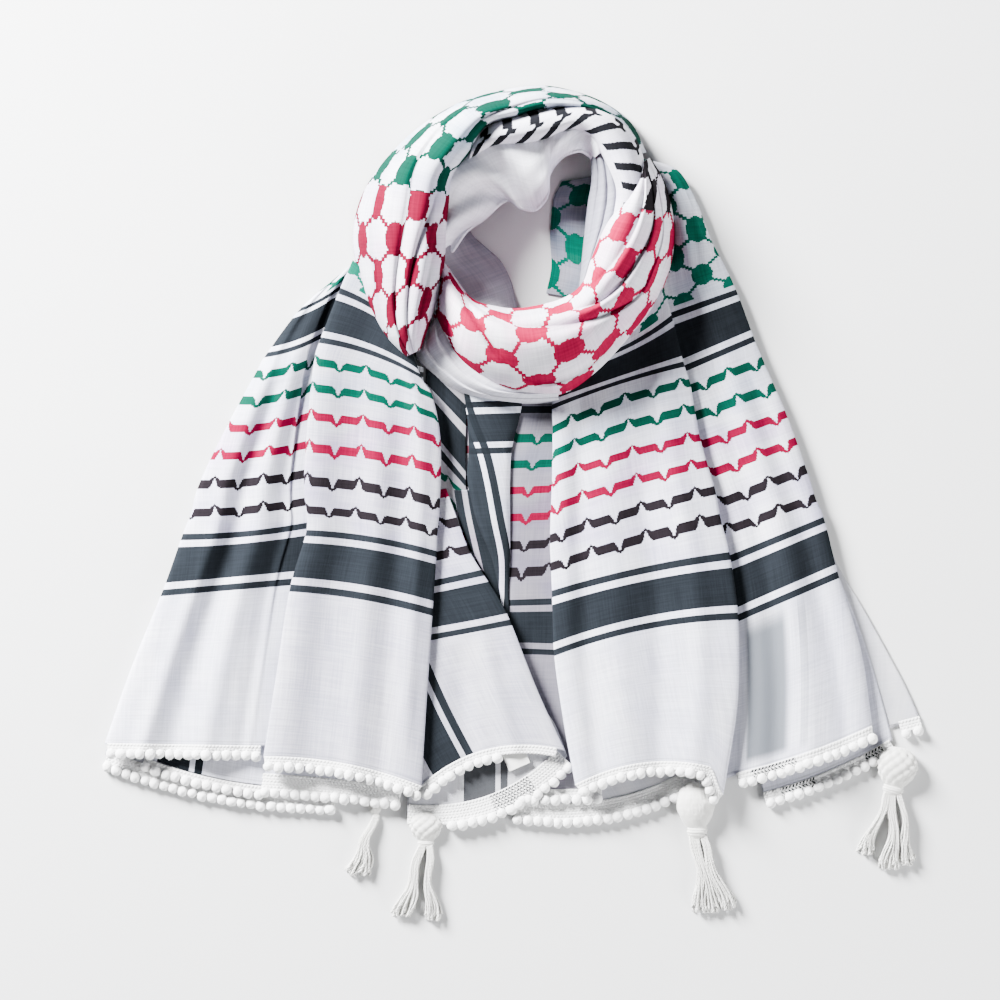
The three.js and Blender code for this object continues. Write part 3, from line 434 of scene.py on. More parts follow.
STRETCHES = dict(
    loop_left_roll=dict(rows=184, tuck=4, fold=3.9, under_in=9, under_out=0, lean=0.62, turns=(
        (80, 255, 16, 99, 262, 8, 6, 453),
        (77, 272, 20, 88, 284, 6, 12, 468),
        (66, 286, 24, 70, 298, 4, 20, 482),
        (49, 293, 26, 50, 306.5, 3, 28, 497),
        (25, 292, 28, 23, 312, 3, 32, 516),
        (3, 286, 30, -7, 309, 3, 34, 536),
        (-18, 281, 33, -39, 300, 3, 35, 556),
        (-33, 262, 36, -70, 282, 3, 36, 579),
        (-46, 243, 36, -97, 256, 3, 36, 601),
        (-49, 222, 36, -114, 230, 3, 36, 621),
        (-51, 202, 36, -121, 201, 3, 36, 639),
        (-52, 180, 36, -118, 175, 3, 35, 657),
        (-56, 157, 34, -110, 147, 3, 33, 677),
        (-64, 132, 26, -97, 123, 3, 28, 695),
        (-70, 114, 16, -82, 108, 3, 18, 710),
    ), creases=(
        (0.16, 0.16, 0.2, 0.22, 0.2, 0.12, 0.06, 0.03, 0.03, 0.05, 0.1, 0.16, 0.22, 0.26, 0.26),
        (0.4, 0.42, 0.46, 0.5, 0.5, 0.42, 0.3, 0.2, 0.16, 0.18, 0.26, 0.36, 0.44, 0.48, 0.48),
        (0.64, 0.66, 0.7, 0.74, 0.78, 0.8, 0.78, 0.7, 0.56, 0.46, 0.46, 0.54, 0.62, 0.68, 0.7),
        (0.84, 0.86, 0.88, 0.9, 0.93, 0.96, 0.97, 0.95, 0.9, 0.84, 0.8, 0.8, 0.84, 0.88, 0.9),
    )),
    loop_bottom_roll=dict(rows=184, tuck=4, fold=4.8, under_in=8, under_out=0, turns=(
        (-54, 184, 24, -60, 150, 8, 12, 819),
        (-44, 168, 30, -58, 129, 6, 22, 835),
        (-31, 152, 34, -41, 99, 4, 31, 855),
        (-13.5, 146.5, 36, -13.5, 80.6, 3, 34, 873),
        (3, 145, 36, 15, 74.6, 3, 35, 891),
        (28, 149.6, 36, 40.5, 78.4, 3, 35, 910),
        (43, 156, 36, 64.5, 96.4, 3, 35, 927),
        (52.5, 166, 36, 87, 121, 3, 35, 945),
        (57, 179.6, 36, 106, 145, 3, 35, 962),
        (63, 194.6, 36, 118, 175, 3, 35, 980),
        (70.5, 209.6, 36, 122, 199, 3, 34, 995),
        (81, 224, 36, 120, 220, 3, 32, 1008),
        (90, 240, 34, 112.5, 244, 4, 28, 1023),
        (95, 253, 30, 102, 258, 8, 20, 1034),
    ), creases=(
        (0.1, 0.06, 0.14, 0.5, 0.78, 0.83, 0.86, 0.88, 0.9, 0.9, 0.9, 0.88, 0.86, 0.84),
        (0.03, 0.03, 0.05, 0.12, 0.2, 0.26, 0.36, 0.56, 0.74, 0.78, 0.8, 0.76, 0.72, 0.68),
        (0.02, 0.02, 0.03, 0.05, 0.07, 0.1, 0.2, 0.36, 0.48, 0.58, 0.64, 0.62, 0.56, 0.5),
        (0.01, 0.01, 0.015, 0.025, 0.03, 0.04, 0.06, 0.12, 0.24, 0.34, 0.4, 0.4, 0.36, 0.32),
    )),
    loop_chevron_fold=dict(rows=120, fold=1.8, under_in=7, under_out=6, turns=(
        (-35, 254, 30, -26, 280, 32, 8, 0, 1985),
        (-18, 266, 36, -7, 287.6, 38, 12, 22, 1985),
        (4.5, 269, 39, 16, 293, 40, 14, 44, 1984),
        (25.5, 273, 40, 36, 296, 40, 14, 66, 1981),
        (43.5, 280, 40, 57, 295, 40, 13, 86, 1979),
        (57, 274, 40, 78, 286, 40, 13, 106, 1974),
        (66, 261, 40, 92, 270, 38, 14, 126, 1970),
        (73, 247, 40, 98, 252, 38, 14, 146, 1970),
        (77, 234, 38, 102, 234, 36, 13, 166, 1970),
        (75, 220, 34, 100.5, 217, 30, 10, 184, 1970),
        (69, 206.6, 28, 94.5, 202, 24, 6, 200, 1970),
    )),
    loop_white_folds=dict(rows=88, tuck=6, fold=3.4, under_in=4, under_out=0, turns=(
        (-52, 146, 16, -70, 122, 3, 8, 20),
        (-46, 126, 16, -73, 108, 2, 12, 34),
        (-32, 108, 16, -58, 93, 2, 15, 50),
        (-18, 96, 16, -42, 82, 2, 16, 64),
        (-4, 88, 16, -22, 76, 2, 16, 78),
        (14, 86, 15, 4, 73, 2, 14, 92),
        (32, 86, 12, 34, 73, 2, 10, 106),
    ), creases=(
        (0.35, 0.36, 0.4, 0.42, 0.4, 0.36, 0.3),
        (0.7, 0.7, 0.72, 0.72, 0.7, 0.66, 0.6),
    )),
    loop_collar=dict(rows=208, under_out=3, loose=(4.4, 2.3, 1.0), sharp=(0, 1), lip=1.6, turns=(
        (-48, 182, 12, -58, 179, 30, 2, 20),
        (-36, 201, 14, -56, 200, 32, 4, 28),
        (-22.5, 211, 16, -53, 223, 33, 6, 36),
        (-10.5, 222, 17, -50, 245, 34, 8, 44),
        (-3, 225, 18, -37, 263, 35, 9, 52),
        (5, 219.5, 17, -17, 271, 36, 9, 60),
        (16.5, 218, 17, 3, 274, 37, 9, 68),
        (25.5, 229, 19, 22, 277, 38, 9, 76),
        (27, 245, 23, 33, 282, 39, 8, 84),
        (37, 258, 27, 46, 285, 39, 7, 92),
        (49.5, 262, 29, 60, 279, 39, 5, 100),
        (59, 256, 28, 69, 266, 38, 4, 106),
    )),
    loop_collar_folds=dict(rows=90, under_out=3, loose=(0, 1, 0), sharp=(3.4, 3.2), lip=1.0, turns=(
        (58, 260, 25, 70, 268, 34, 3, 104),
        (58.5, 241, 22, 77, 249, 36, 5, 100),
        (55.5, 222, 16, 82, 231, 35, 6, 90),
        (53, 199, 10, 79, 215, 33, 7, 80),
        (51, 179, 5, 69, 195, 30, 7, 70),
        (49, 160, 3, 58, 174, 26, 5, 60),
    )),
    loop_inner_wall=dict(rows=88, under_out=3, loose=(1.6, 2.9, 1.4), sharp=(0, 1), lip=0.6, turns=(
        (-38, 222, 6, -50, 228, 26, 1, 20),
        (-34, 208, 3, -53, 214, 28, 2, 30),
        (-31, 200, 2, -56, 198, 29, 2, 40),
        (-22.5, 192, 2, -56, 180, 29, 2, 50),
        (-10, 180.5, 2, -50, 166, 28, 2, 62),
        (-2, 165, 2, -36, 152, 26, 2, 76),
        (1.5, 149, 2, -14, 145, 22, 2, 92),
        (4, 140, 2, 2, 138, 18, 1, 104),
    )),
)

POINTS_PER_PLEAT, POINTS_UNPLEATED = 11, 36
LOOP_STRETCH = 0.8  # of the print across the loop, where its pleats pull the cloth open
CREASE_GAP = 0.008  # the least share of the width between two creases
FULL_PLEAT, TALLEST_PLEAT = 11.0, 1.15  # the width at which a pleat stands full, and its limit
LOOP_WAVE_RISE, LOOP_WAVES = 0.7, 14.0
UNDER_DROP, UNDER_SLOPE = 3.0, 5.0  # how far an edge goes down, and further on its way under


def pleat_edges(creases, along):
    """The shares of the width at which pleats begin and end, for each place along a stretch."""
    edges = [np.zeros(len(along))]
    edges += [read_table(np.asarray(crease)[:, None], along)[:, 0] for crease in creases]
    edges = np.sort(np.stack([*edges, np.ones(len(along))], axis=1), axis=1)
    for k in range(1, edges.shape[1]):
        edges[:, k] = np.maximum(edges[:, k], edges[:, k - 1] + CREASE_GAP)
    return edges / edges[:, -1:]


def tucked(edge, way, reach):
    """Two more lines of cloth at an edge of the loop: one below it, and one on under the loop."""
    below = edge.copy()
    below[..., 2] -= UNDER_DROP
    under = below.copy()
    under[..., :2] += way * reach
    under[..., 2] -= UNDER_SLOPE
    return below, under


def stretch_points(name):
    """The grid of a stretch of the loop, its places on the print, and the cloth each pleat hides."""
    stretch = STRETCHES[name]
    along = np.linspace(0, len(stretch["turns"]) - 1, stretch["rows"])
    at = read_columns(Turn, stretch["turns"], along)
    along = along[:, None]
    width = np.hypot(at.out_x - at.in_x, at.out_y - at.in_y)
    edges = pleat_edges(stretch.get("creases", ()), along[:, 0])
    cells = edges.shape[1] - 1
    points = POINTS_PER_PLEAT if cells > 1 else POINTS_UNPLEATED
    x = np.linspace(0, 1, points)
    lift = np.sin(np.pi * x ** stretch.get("lean", 0.5)) + 0.22 * x * (1 - x)
    share, roll, column_cell = [], [], []
    for k in range(cells):
        left, right = edges[:, k : k + 1], edges[:, k + 1 : k + 2]
        size = np.clip((right - left) * width / FULL_PLEAT, 0, TALLEST_PLEAT)
        start = 0 if k == 0 else 1
        share.append((left + (right - left) * x[None, :])[:, start:])
        roll.append((lift[None, :] * size * stretch.get("fold", 0))[:, start:])
        column_cell += [k] * (points - start)
    s, roll = np.concatenate(share, axis=1), np.concatenate(roll, axis=1)
    distance = s * width
    z = at.in_z + (at.out_z - at.in_z) * s + at.crown * (1 - np.abs(2 * s - 1) ** 2.6)
    z = z + roll * np.clip(1.6 - 2.2 * np.abs(s - 0.45), 0.35, 1)
    waves = ripple(distance / LOOP_WAVES, along * 1.3, len(name) * 11)
    z = z + LOOP_WAVE_RISE * waves * np.clip(at.crown / 20, 0.2, 1)
    if "loose" in stretch:
        # Loose folds that slant over the strip, then pleats that run along it, and a rolled edge
        (soft, pitch, slant), (sharp, count), lip = (stretch[k] for k in ("loose", "sharp", "lip"))
        z = z + soft * (1 - 0.5 * s) * np.sin(2 * np.pi * (along / pitch + slant * s))
        z = z + 0.35 * soft * ripple(distance / 7, along * 2.3, 5) * np.sin(np.pi * s)
        ridges = np.abs(np.sin(np.pi * (count * s + 0.12 * along)))
        z = z + sharp * ridges * np.sqrt(np.clip(np.sin(np.pi * s), 0, 1))
        z = z + lip * np.exp(-((distance - 1.2) ** 2)) * (1 + 0.5 * np.sin(along * 37))
    x, y = at.in_x + (at.out_x - at.in_x) * s, at.in_y + (at.out_y - at.in_y) * s
    grid = put_at_height(np.stack([x, y, z], axis=-1))
    way = np.stack([at.out_x - at.in_x, at.out_y - at.in_y], axis=-1) / width[..., None]
    before, behind = (), ()
    if "under_in" in stretch:
        before = tucked(grid[:, :1], way, stretch["under_in"])[::-1]
    if stretch["under_out"]:
        behind = tucked(grid[:, -1:], -way, stretch["under_out"])
    grid = np.concatenate([*before, grid, *behind], axis=1)
    cell = [0] * len(before) + column_cell + [cells - 1] * len(behind)
    jumps = np.array([stretch.get("tuck", 0) * c for c in cell[1:]], dtype=float)
    lengths = across_lengths(grid)
    place = at.print + (lengths - lengths[:, len(before) : len(before) + 1]) * LOOP_STRETCH
    return grid, np.stack([place, at.cloth + 0 * place], axis=-1), jumps


# Cloth that shows through the hole: each row goes from its edge on the table, x, y and z, to the
# loop's inside
HOLE_LAYER = (
    (24, 156, 1.6, 56, 150, 2.2),
    (28, 176, 1.6, 58, 168, 3.0),
    (27, 196, 1.6, 60, 190, 4.0),
    (28, 214, 1.6, 61, 212, 4.0),
    (30, 228, 1.6, 60, 230, 3.0),
    (36, 240, 1.6, 58, 244, 2.2),
)
HOLE_ROWS, HOLE_COLS = 64, 28


def hole_layer_points():
    rows = read_table(HOLE_LAYER, np.linspace(0, len(HOLE_LAYER) - 1, HOLE_ROWS))
    t = np.linspace(0, 1, HOLE_COLS)[None, :]
    grid = rows[:, None, :3] * (1 - t[..., None]) + rows[:, None, 3:] * t[..., None]
    puckers = np.sin(np.linspace(0, 9, HOLE_ROWS))[:, None] ** 2
    grid[..., 2] += 1.2 * np.sin(np.pi * t) * puckers
    grid = put_at_height(grid)
    along = np.linspace(453, 543, HOLE_ROWS)[:, None]
    return grid, np.stack([across_lengths(grid) + 0.5, along + 0 * t], axis=-1)


# Trims. Each follows the hem of a panel or layer from a start to an end, as shares of it. rest is
# the height that its pompoms rest on, skip is how many are left out where a tassel hangs, dark is
# the shares of the tape where dark print shows through it, and width is the tape's. node is the
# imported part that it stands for, where that isn't the one of its own name.
TRIM_WIDTH, POMPOM_RADIUS, POMPOM_PITCH, POMPOM_REACH = 5.5, 3.1, 7.4, 7.0
ALL_POMPOMS = 99
Trim = namedtuple(
    "Trim", "name of start end rest skip dark width node", defaults=(0, 0, (), TRIM_WIDTH, None),
)
TRIMS = (
    Trim("trim_left_lower", "left_under_layers", 0.02, 1, width=9),
    Trim("trim_left_fold", "left_fold_layer", 0, 1, rest=2, width=4, node="trim_left_lower"),
    Trim("trim_left_second", "left_inner_layer", 0.02, 1, rest=2, width=12, node="trim_left_lower"),
    Trim("trim_left_outer", "left_outer_pleat", 0.27, 0.84),
    Trim("trim_left_inner", "left_inner_pleat", 0.24, 0.87),
    Trim("trim_centre_fold", "centre_front_fold", 0.04, 0.35),
    Trim(
        "trim_centre_corner", "centre_front_fold", 0.34, 0.6, skip=ALL_POMPOMS,
        node="trim_centre_fold",
    ),
    Trim(
        "trim_centre_lower", "centre_lower_layer", 0, 0.97, rest=1.8, skip=4,
        dark=((0.5, 0.76),), width=14,
    ),
    Trim("trim_right_lower", "right_under_layers", 0.2, 1, width=12),
    Trim("trim_inner_fold", "right_inner_fold", 0.1, 1, rest=1.8),
    Trim("trim_right_main", "right_main_panel", 0.2, 0.78),
    Trim("trim_right_outer", "right_outer_panel", 0.17, 0.8, dark=((0.1, 0.42),), width=6.5),
    Trim(
        "trim_right_second", "right_second_layer", 0.0, 0.97,
        dark=((0.12, 0.38), (0.78, 0.92)), width=6.5,
    ),
    Trim("trim_right_back", "right_back_layer", 0.85, 1, width=8),
)


def solid_object(name, parts):
    """One mesh object from a list of (points in mm, faces)."""
    points, faces, count = [], [], 0
    for part, part_faces in parts:
        points.append(np.asarray(part).reshape(-1, 3))
        faces += [[corner + count for corner in face] for face in part_faces]
        count += len(points[-1])
    mesh = bpy.data.meshes.new(name)
    mesh.from_pydata((np.concatenate(points) * MM).tolist(), [], faces)
    mesh.polygons.foreach_set("use_smooth", [True] * len(faces))
    mesh.update()
    return link(bpy.data.objects.new(name, mesh))


def round_ball():
    """A round ball of radius 1 from triangles of nearly one size."""
    made = bmesh.new()
    bmesh.ops.create_icosphere(made, subdivisions=3, radius=1.0)
    points = np.array([v.co[:] for v in made.verts])
    faces = np.array([[v.index for v in f.verts] for f in made.faces])
    made.free()
    return points, faces


def fluffy_ball(base, centre, radius, rng):
    """A pompom of cut yarn: a ball with short tufts, a little squashed."""
    points, faces = base
    tufts = np.zeros(len(points))
    waves = 7
    for _ in range(waves):
        way = rng.normal(size=3)
        way /= np.linalg.norm(way)
        tufts += np.sin(points @ way * rng.uniform(9, 17) + rng.uniform(0, PHASES))
    tufts = tufts / waves
    size = radius * (1 + 0.13 * tufts[:, None] + 0.02 * rng.normal(size=(len(points), 1)))
    shape = points * size * rng.uniform([0.94, 0.94, 0.86], [1.1, 1.1, 1.0])
    return shape + centre, faces


def hem_line(trim):
    """Points along the part of the hem that a trim follows, and the way out from the cloth."""
    grid = PANEL_GRIDS[trim.of][0]
    cols = grid.shape[1] - 1
    line = read_table(grid[0], np.linspace(trim.start * cols, trim.end * cols, 240))
    steps = np.gradient(line, axis=0)
    out = np.stack([steps[:, 1], -steps[:, 0], 0 * steps[:, 0]], axis=1)
    out /= np.maximum(np.linalg.norm(out, axis=1, keepdims=True), 1e-6)
    # The way out turns evenly where the hem has small kinks
    reach = 12
    kernel = np.ones(2 * reach + 1) / (2 * reach + 1)
    for k in range(2):
        out[:, k] = np.convolve(np.pad(out[:, k], reach, mode="edge"), kernel, mode="valid")
    out /= np.linalg.norm(out, axis=1, keepdims=True)
    return line, out


def spaced(line, pitch):
    """The places along a line, from 0 to its last index, that are a pitch apart."""
    run = across_lengths(line[None])[0]
    count = max(int(run[-1] / pitch), 1)
    return np.interp(np.linspace(pitch / 2, run[-1] - pitch / 2, count), run, np.arange(len(line)))


LOOP_PITCH, TAPE_STEP = 2.7, 0.64  # of the tape's loops along it, and of its mesh
TAPE_THICKNESS = 0.9


def braid_ribbon(line, out, lift, dark, width):
    """A narrow crocheted tape of rows of loops that slant in turn, and the number of its material
    for each face, as dark print shows between the loops in some stretches."""
    places = spaced(line, TAPE_STEP)
    middle, away = read_table(line, places), read_table(out, places)
    run = across_lengths(middle[None])[0]
    loop_rows = max(round(width / 2), 2)
    t = np.linspace(0, 1, 5 * loop_rows + 1)
    reach = TRIM_WIDTH - width - 0.8 + (width + 1.0) * t
    row = np.floor(t * loop_rows - 1e-6)
    inside = t * loop_rows - row
    slant = np.where(row % 2 == 0, 1.0, -1.0)
    loops = np.sin(2 * np.pi * (run[:, None] / LOOP_PITCH + slant * inside * 0.6))
    relief = (0.35 + 0.4 * loops) * np.sin(np.pi * inside) ** 0.7
    scallops = 0.35 * np.sin(2 * np.pi * run / LOOP_PITCH)
    top = middle[:, None, :] + away[:, None, :] * reach[None, :, None]
    top += away[:, None, :] * (scallops[:, None] * t[None, :] ** 3)[..., None]
    top[..., 2] += lift[np.round(places).astype(int)][:, None] * t[None, :] ** 2 + relief + 0.35
    bottom = top.copy()
    bottom[..., 2] -= TAPE_THICKNESS + relief
    rows, cols = top.shape[:2]
    n = rows * cols
    face = grid_faces(rows, cols)
    i = np.arange(rows - 1) * cols
    j = np.arange(cols - 1)
    last_i, last_j = i + cols - 1, j + n - cols
    rims = np.concatenate([
        np.stack([i, i + cols, i + cols + n, i + n], axis=1),
        np.stack([last_i + cols, last_i, last_i + n, last_i + cols + n], axis=1),
        np.stack([j + 1, j, j + n, j + 1 + n], axis=1),
        np.stack([last_j, last_j + 1, last_j + 1 + n, last_j + n], axis=1),
    ])
    faces = np.concatenate([face, face[:, ::-1] + n, rims])
    share = run / run[-1]
    shown = np.zeros(rows, dtype=bool)
    for first, last in dark:
        shown |= (share > first) & (share < last)
    gap = shown[:, None] & (loops < 0.2) & (inside > 0.12) & (inside < 0.88)
    marks = np.zeros(len(faces), dtype=int)
    marks[: len(face)] = gap[:-1, :-1].ravel()
    return np.concatenate([top.reshape(-1, 3), bottom.reshape(-1, 3)]), faces, marks


def make_trim(trim, base):
    line, out = hem_line(trim)
    lift = np.maximum(trim.rest + 2.4 - line[:, 2], 0)
    rng = np.random.default_rng(sum(ord(letter) for letter in trim.name))
    balls = []
    far = line + out * POMPOM_REACH
    for place in spaced(far, POMPOM_PITCH)[trim.skip :]:
        centre = read_table(far, place)
        centre[2] = max(centre[2], trim.rest + POMPOM_RADIUS + 0.1)
        centre += rng.uniform(-0.5, 0.5, 3)
        balls.append(fluffy_ball(base, centre, POMPOM_RADIUS + rng.uniform(0.5, 0.9), rng))
    points, faces, marks = braid_ribbon(line, out, lift, trim.dark, trim.width)
    tape = solid_object(trim.name + "_braid", [(points, faces)])
    pieces = [(tape, COTTON_BRAID)]
    if balls:
        pieces.append((solid_object(trim.name + "_pompoms", balls), POMPOM_COTTON))
    for piece, material in pieces:
        piece.data.materials.append(material)
        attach(piece, "root")
    if marks.any():
        tape.data.materials.append(DARK_PRINT)
        tape.data.polygons.foreach_set("material_index", marks)
    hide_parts(trim.node or trim.name)
    return [piece for piece, _ in pieces]


# Tassels. The head hangs at x, y, turned by so many degrees, and the plait over it has so many
# ridges round it, a slope and a depth. Each bundle of strands ends spread about its tip.
Head = namedtuple("Head", "x y length width height turn")
Bundle = namedtuple("Bundle", "tip_x tip_y spread strands")
Tassel = namedtuple("Tassel", "name head ridges slope depth bundles")
TASSELS = (
    Tassel("tassel_left", Head(-104, -231, 10, 9, 4, -80), 4, 9, 0.1, [Bundle(-117, -277, 19, 32)]),
    Tassel(
        "tassel_centre", Head(-66, -246, 26, 22, 9, -90), 4, 12, 0.14,
        [Bundle(-84, -308, 16, 32), Bundle(-61, -311, 12, 26)],
    ),
    Tassel(
        "tassel_right", Head(136, -231, 42, 27, 14, -86), 15, 7, 0.08,
        [Bundle(143, -305, 18, 36), Bundle(159, -303, 14, 28)],
    ),
    Tassel(
        "tassel_corner", Head(286, -202, 36, 28, 13, -100), 5, 13, 0.11,
        [Bundle(264, -262, 12, 22), Bundle(281, -273, 16, 32), Bundle(295, -270, 10, 22)],
    ),
)
# How thick a head is on its way from the hem to the strands, as shares of its length and width
HEAD_PROFILE = (
    (0, 0.3), (0.04, 0.52), (0.1, 0.73), (0.18, 0.88), (0.27, 0.97), (0.36, 1), (0.46, 0.98),
    (0.56, 0.9), (0.65, 0.78), (0.73, 0.64), (0.8, 0.5), (0.88, 0.56), (0.96, 0.46), (1, 0.36),
)
HEAD_ROUNDS, HEAD_SIDES = 72, 72
STRAND_LAYERS, STRAND_POINTS, STRAND_SIDES = 3, 26, 4
PLY_PITCH = 5.5


def tube(centre, radius, sides):
    """A closed tube along a line of points, with a radius at each."""
    along = np.gradient(centre, axis=0)
    along /= np.linalg.norm(along, axis=1, keepdims=True)
    side = np.cross(along, [0, 0, 1.0])
    side /= np.maximum(np.linalg.norm(side, axis=1, keepdims=True), 1e-6)
    up = np.cross(side, along)
    turn = np.linspace(0, 2 * np.pi, sides, endpoint=False)[None, :, None]
    ring = np.cos(turn) * side[:, None] + np.sin(turn) * up[:, None]
    points = centre[:, None] + ring * radius[:, None, None]
    points = np.concatenate([points.reshape(-1, 3), centre[:1], centre[-1:]])
    return points, round_faces(len(centre), sides)


def tassel_head(tassel, c, s):
    """A plaited head, and the wound yarn below it, on the way that c and s give."""
    head = tassel.head
    along = np.linspace(0, 1, HEAD_ROUNDS)[:, None]
    turn = np.linspace(0, 2 * np.pi, HEAD_SIDES, endpoint=False)[None, :]
    size = np.interp(along, *np.transpose(HEAD_PROFILE))
    plait = sum(np.abs(np.sin(tassel.ridges * turn + way * tassel.slope * along)) for way in (1, -1))
    wound = np.abs(np.sin(along * 60 + turn))
    knot = smooth_step(along, 0.74, 0.8)
    relief = 1 + (tassel.depth * (plait - 1) * (1 - knot) + 0.14 * (wound - 0.5) * knot)
    side = np.cos(turn) * size * relief * head.width / 2
    forth = (along - 0.5) * head.length + 0 * side
    sunk = head.height / 2 * (1 - size) * 0.6
    z = head.height / 2 * (1 + np.sin(turn) * size * relief) - sunk
    x, y = head.x + c * forth - s * side, head.y + s * forth + c * side
    body = np.stack([x, y, np.maximum(z, 0.1)], axis=-1)
    ends = body[:1].mean(axis=1), body[-1:].mean(axis=1)
    return np.concatenate([body.reshape(-1, 3), *ends]), round_faces(HEAD_ROUNDS, HEAD_SIDES)


def yarn_strand(head, bundle, k, share, c, s, rng):
    """A two-ply strand from the knot to its place at the tip."""
    in_layer = math.ceil(bundle.strands / STRAND_LAYERS)
    layer, place = k % STRAND_LAYERS, (k // STRAND_LAYERS + 0.5) / in_layer - 0.5
    root = np.array([
        head.x + c * head.length * 0.42 + (share - 0.5) * head.width * 0.42,
        head.y + s * head.length * 0.42,
        head.height * 0.33 + (layer - 1) * 1.5,
    ])
    tip = np.array([
        bundle.tip_x + (place + layer * 0.3 / in_layer) * bundle.spread,
        bundle.tip_y + 3 * math.sin(5 * k + head.x),
        1.0 + layer * 1.9,
    ])
    t = np.linspace(0, 1, STRAND_POINTS)
    line = root + (tip - root) * t[:, None]
    belly = np.sin(np.pi * t)
    # Each bundle sways in its own way on its way down, and each strand a little more
    line[:, 0] += (bundle.tip_x - tip[0]) * 0.25 * belly ** 2
    line[:, 0] += 2.4 * belly * np.sin(5.5 * t + bundle.tip_x)
    line[:, 0] += rng.uniform(0.6, 1.5) * np.sin(t * rng.uniform(5, 11) + rng.uniform(0, 6)) * t
    line[:, 2] += 0.6 * np.sin(t * rng.uniform(4, 8) + rng.uniform(0, 6)) * t + 2.2 * belly * layer / 2
    line[:, 2] = np.maximum(line[:, 2], 1.1)
    strands = []
    spread = 0.5 + 0.45 * smooth_step(t, 0.86, 1)
    radius = 0.44 + 0.06 * t + 0.2 * smooth_step(t, 0.9, 0.97)
    for ply in range(2):
        angle = 2 * np.pi * (t * np.linalg.norm(tip - root) / PLY_PITCH) + np.pi * ply
        wind = line.copy()
        wind[:, 0] += spread * np.cos(angle)
        wind[:, 2] += 0.5 * np.sin(angle)
        strands.append(tube(wind, radius, STRAND_SIDES))
    return strands


def make_tassel(tassel):
    head = tassel.head
    c, s = math.cos(math.radians(head.turn)), math.sin(math.radians(head.turn))
    rng = np.random.default_rng(head.x + 500)
    parts = [tassel_head(tassel, c, s)]
    made, total = 0, sum(bundle.strands for bundle in tassel.bundles)
    for bundle in tassel.bundles:
        for k in range(bundle.strands):
            parts += yarn_strand(head, bundle, k, (made + 0.5) / total, c, s, rng)
            made += 1
    piece = solid_object(tassel.name + "_yarn", parts)
    piece.data.materials.append(TASSEL_YARN)
    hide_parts(tassel.name)
    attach(piece, "root")


# Materials

class Workbench:
    """Adds nodes to a tree. Values may be numbers or the sockets of other nodes."""

    def __init__(self, tree):
        self.tree = tree

    def node(self, kind, **settings):
        made = self.tree.nodes.new(kind)
        for name, value in settings.items():
            setattr(made, name, value)
        return made

    def feed(self, socket, value):
        if isinstance(value, bpy.types.NodeSocket):
            self.tree.links.new(value, socket)
        else:
            socket.default_value = value

    def math(self, operation, *values):
        made = self.node("ShaderNodeMath", operation=operation)
        for socket, value in zip(made.inputs, values):
            self.feed(socket, value)
        return made.outputs[0]

    def between(self, value, low, high):
        middle, half = (low + high) / 2, (high - low) / 2
        return self.math("COMPARE", value, middle, half)

    def any_of(self, *masks):
        most = masks[0]
        for mask in masks[1:]:
            most = self.math("MAXIMUM", most, mask)
        return most

    def inverse(self, mask):
        return self.math("SUBTRACT", 1.0, mask)

    def soft_step(self, value, low, high):
        made = self.node("ShaderNodeMapRange", interpolation_type="SMOOTHSTEP")
        self.feed(made.inputs[0], value)
        made.inputs[1].default_value = low
        made.inputs[2].default_value = high
        return made.outputs[0]

    def times(self, a, b):
        return self.mix(1.0, a, b, "MULTIPLY")

    def mix(self, factor, a, b, blend="MIX"):
        made = self.node("ShaderNodeMix", data_type="RGBA", blend_type=blend)
        self.feed(made.inputs[0], factor)
        self.feed(made.inputs[6], a)
        self.feed(made.inputs[7], b)
        return made.outputs[2]

    def ramp(self, factor, stops, interpolation="LINEAR"):
        """The colours of the stops, which are in mm from the hem."""
        made = self.node("ShaderNodeValToRGB")
        made.color_ramp.interpolation = interpolation
        elements = made.color_ramp.elements
        while len(elements) < len(stops):
            elements.new(0.5)
        for element, (place, colour) in zip(elements, stops):
            element.position = place / CLOTH_LENGTH
            element.color = colour
        self.feed(made.inputs[0], factor)
        return made.outputs[0]

    def noise(self, vector, scale, detail=2.0, roughness=0.5):
        made = self.node("ShaderNodeTexNoise")
        self.feed(made.inputs["Vector"], vector)
        made.inputs["Scale"].default_value = scale
        made.inputs["Detail"].default_value = detail
        made.inputs["Roughness"].default_value = roughness
        return made.outputs["Fac"]

    def scaled(self, vector, by):
        made = self.node("ShaderNodeVectorMath", operation="MULTIPLY")
        self.feed(made.inputs[0], vector)
        made.inputs[1].default_value = by
        return made.outputs[0]

    def bump(self, shader, height, strength, distance):
        made = self.node("ShaderNodeBump")
        made.inputs["Strength"].default_value = strength
        made.inputs["Distance"].default_value = distance
        self.feed(made.inputs["Height"], height)
        self.feed(shader.inputs["Normal"], made.outputs[0])

    def group(self, tree, cloth):
        made = self.node("ShaderNodeGroup")
        made.node_tree = tree
        self.feed(made.inputs["Cloth"], cloth)
        return made.outputs


def cloth_group(name, **outputs):
    """A new shader node group that works from a place on the cloth: its tree and bench, that
    place and its x and y, and the sockets that it puts out."""
    tree = bpy.data.node_groups.new(name, "ShaderNodeTree")
    tree.interface.new_socket(name="Cloth", in_out="INPUT", socket_type="NodeSocketVector")
    for socket, kind in outputs.items():
        tree.interface.new_socket(name=socket, in_out="OUTPUT", socket_type="NodeSocket" + kind)
    bench = Workbench(tree)
    cloth = bench.node("NodeGroupInput").outputs[0]
    parts = bench.node("ShaderNodeSeparateXYZ")
    bench.feed(parts.inputs[0], cloth)
    return tree, bench, cloth, parts.outputs, bench.node("NodeGroupOutput").inputs


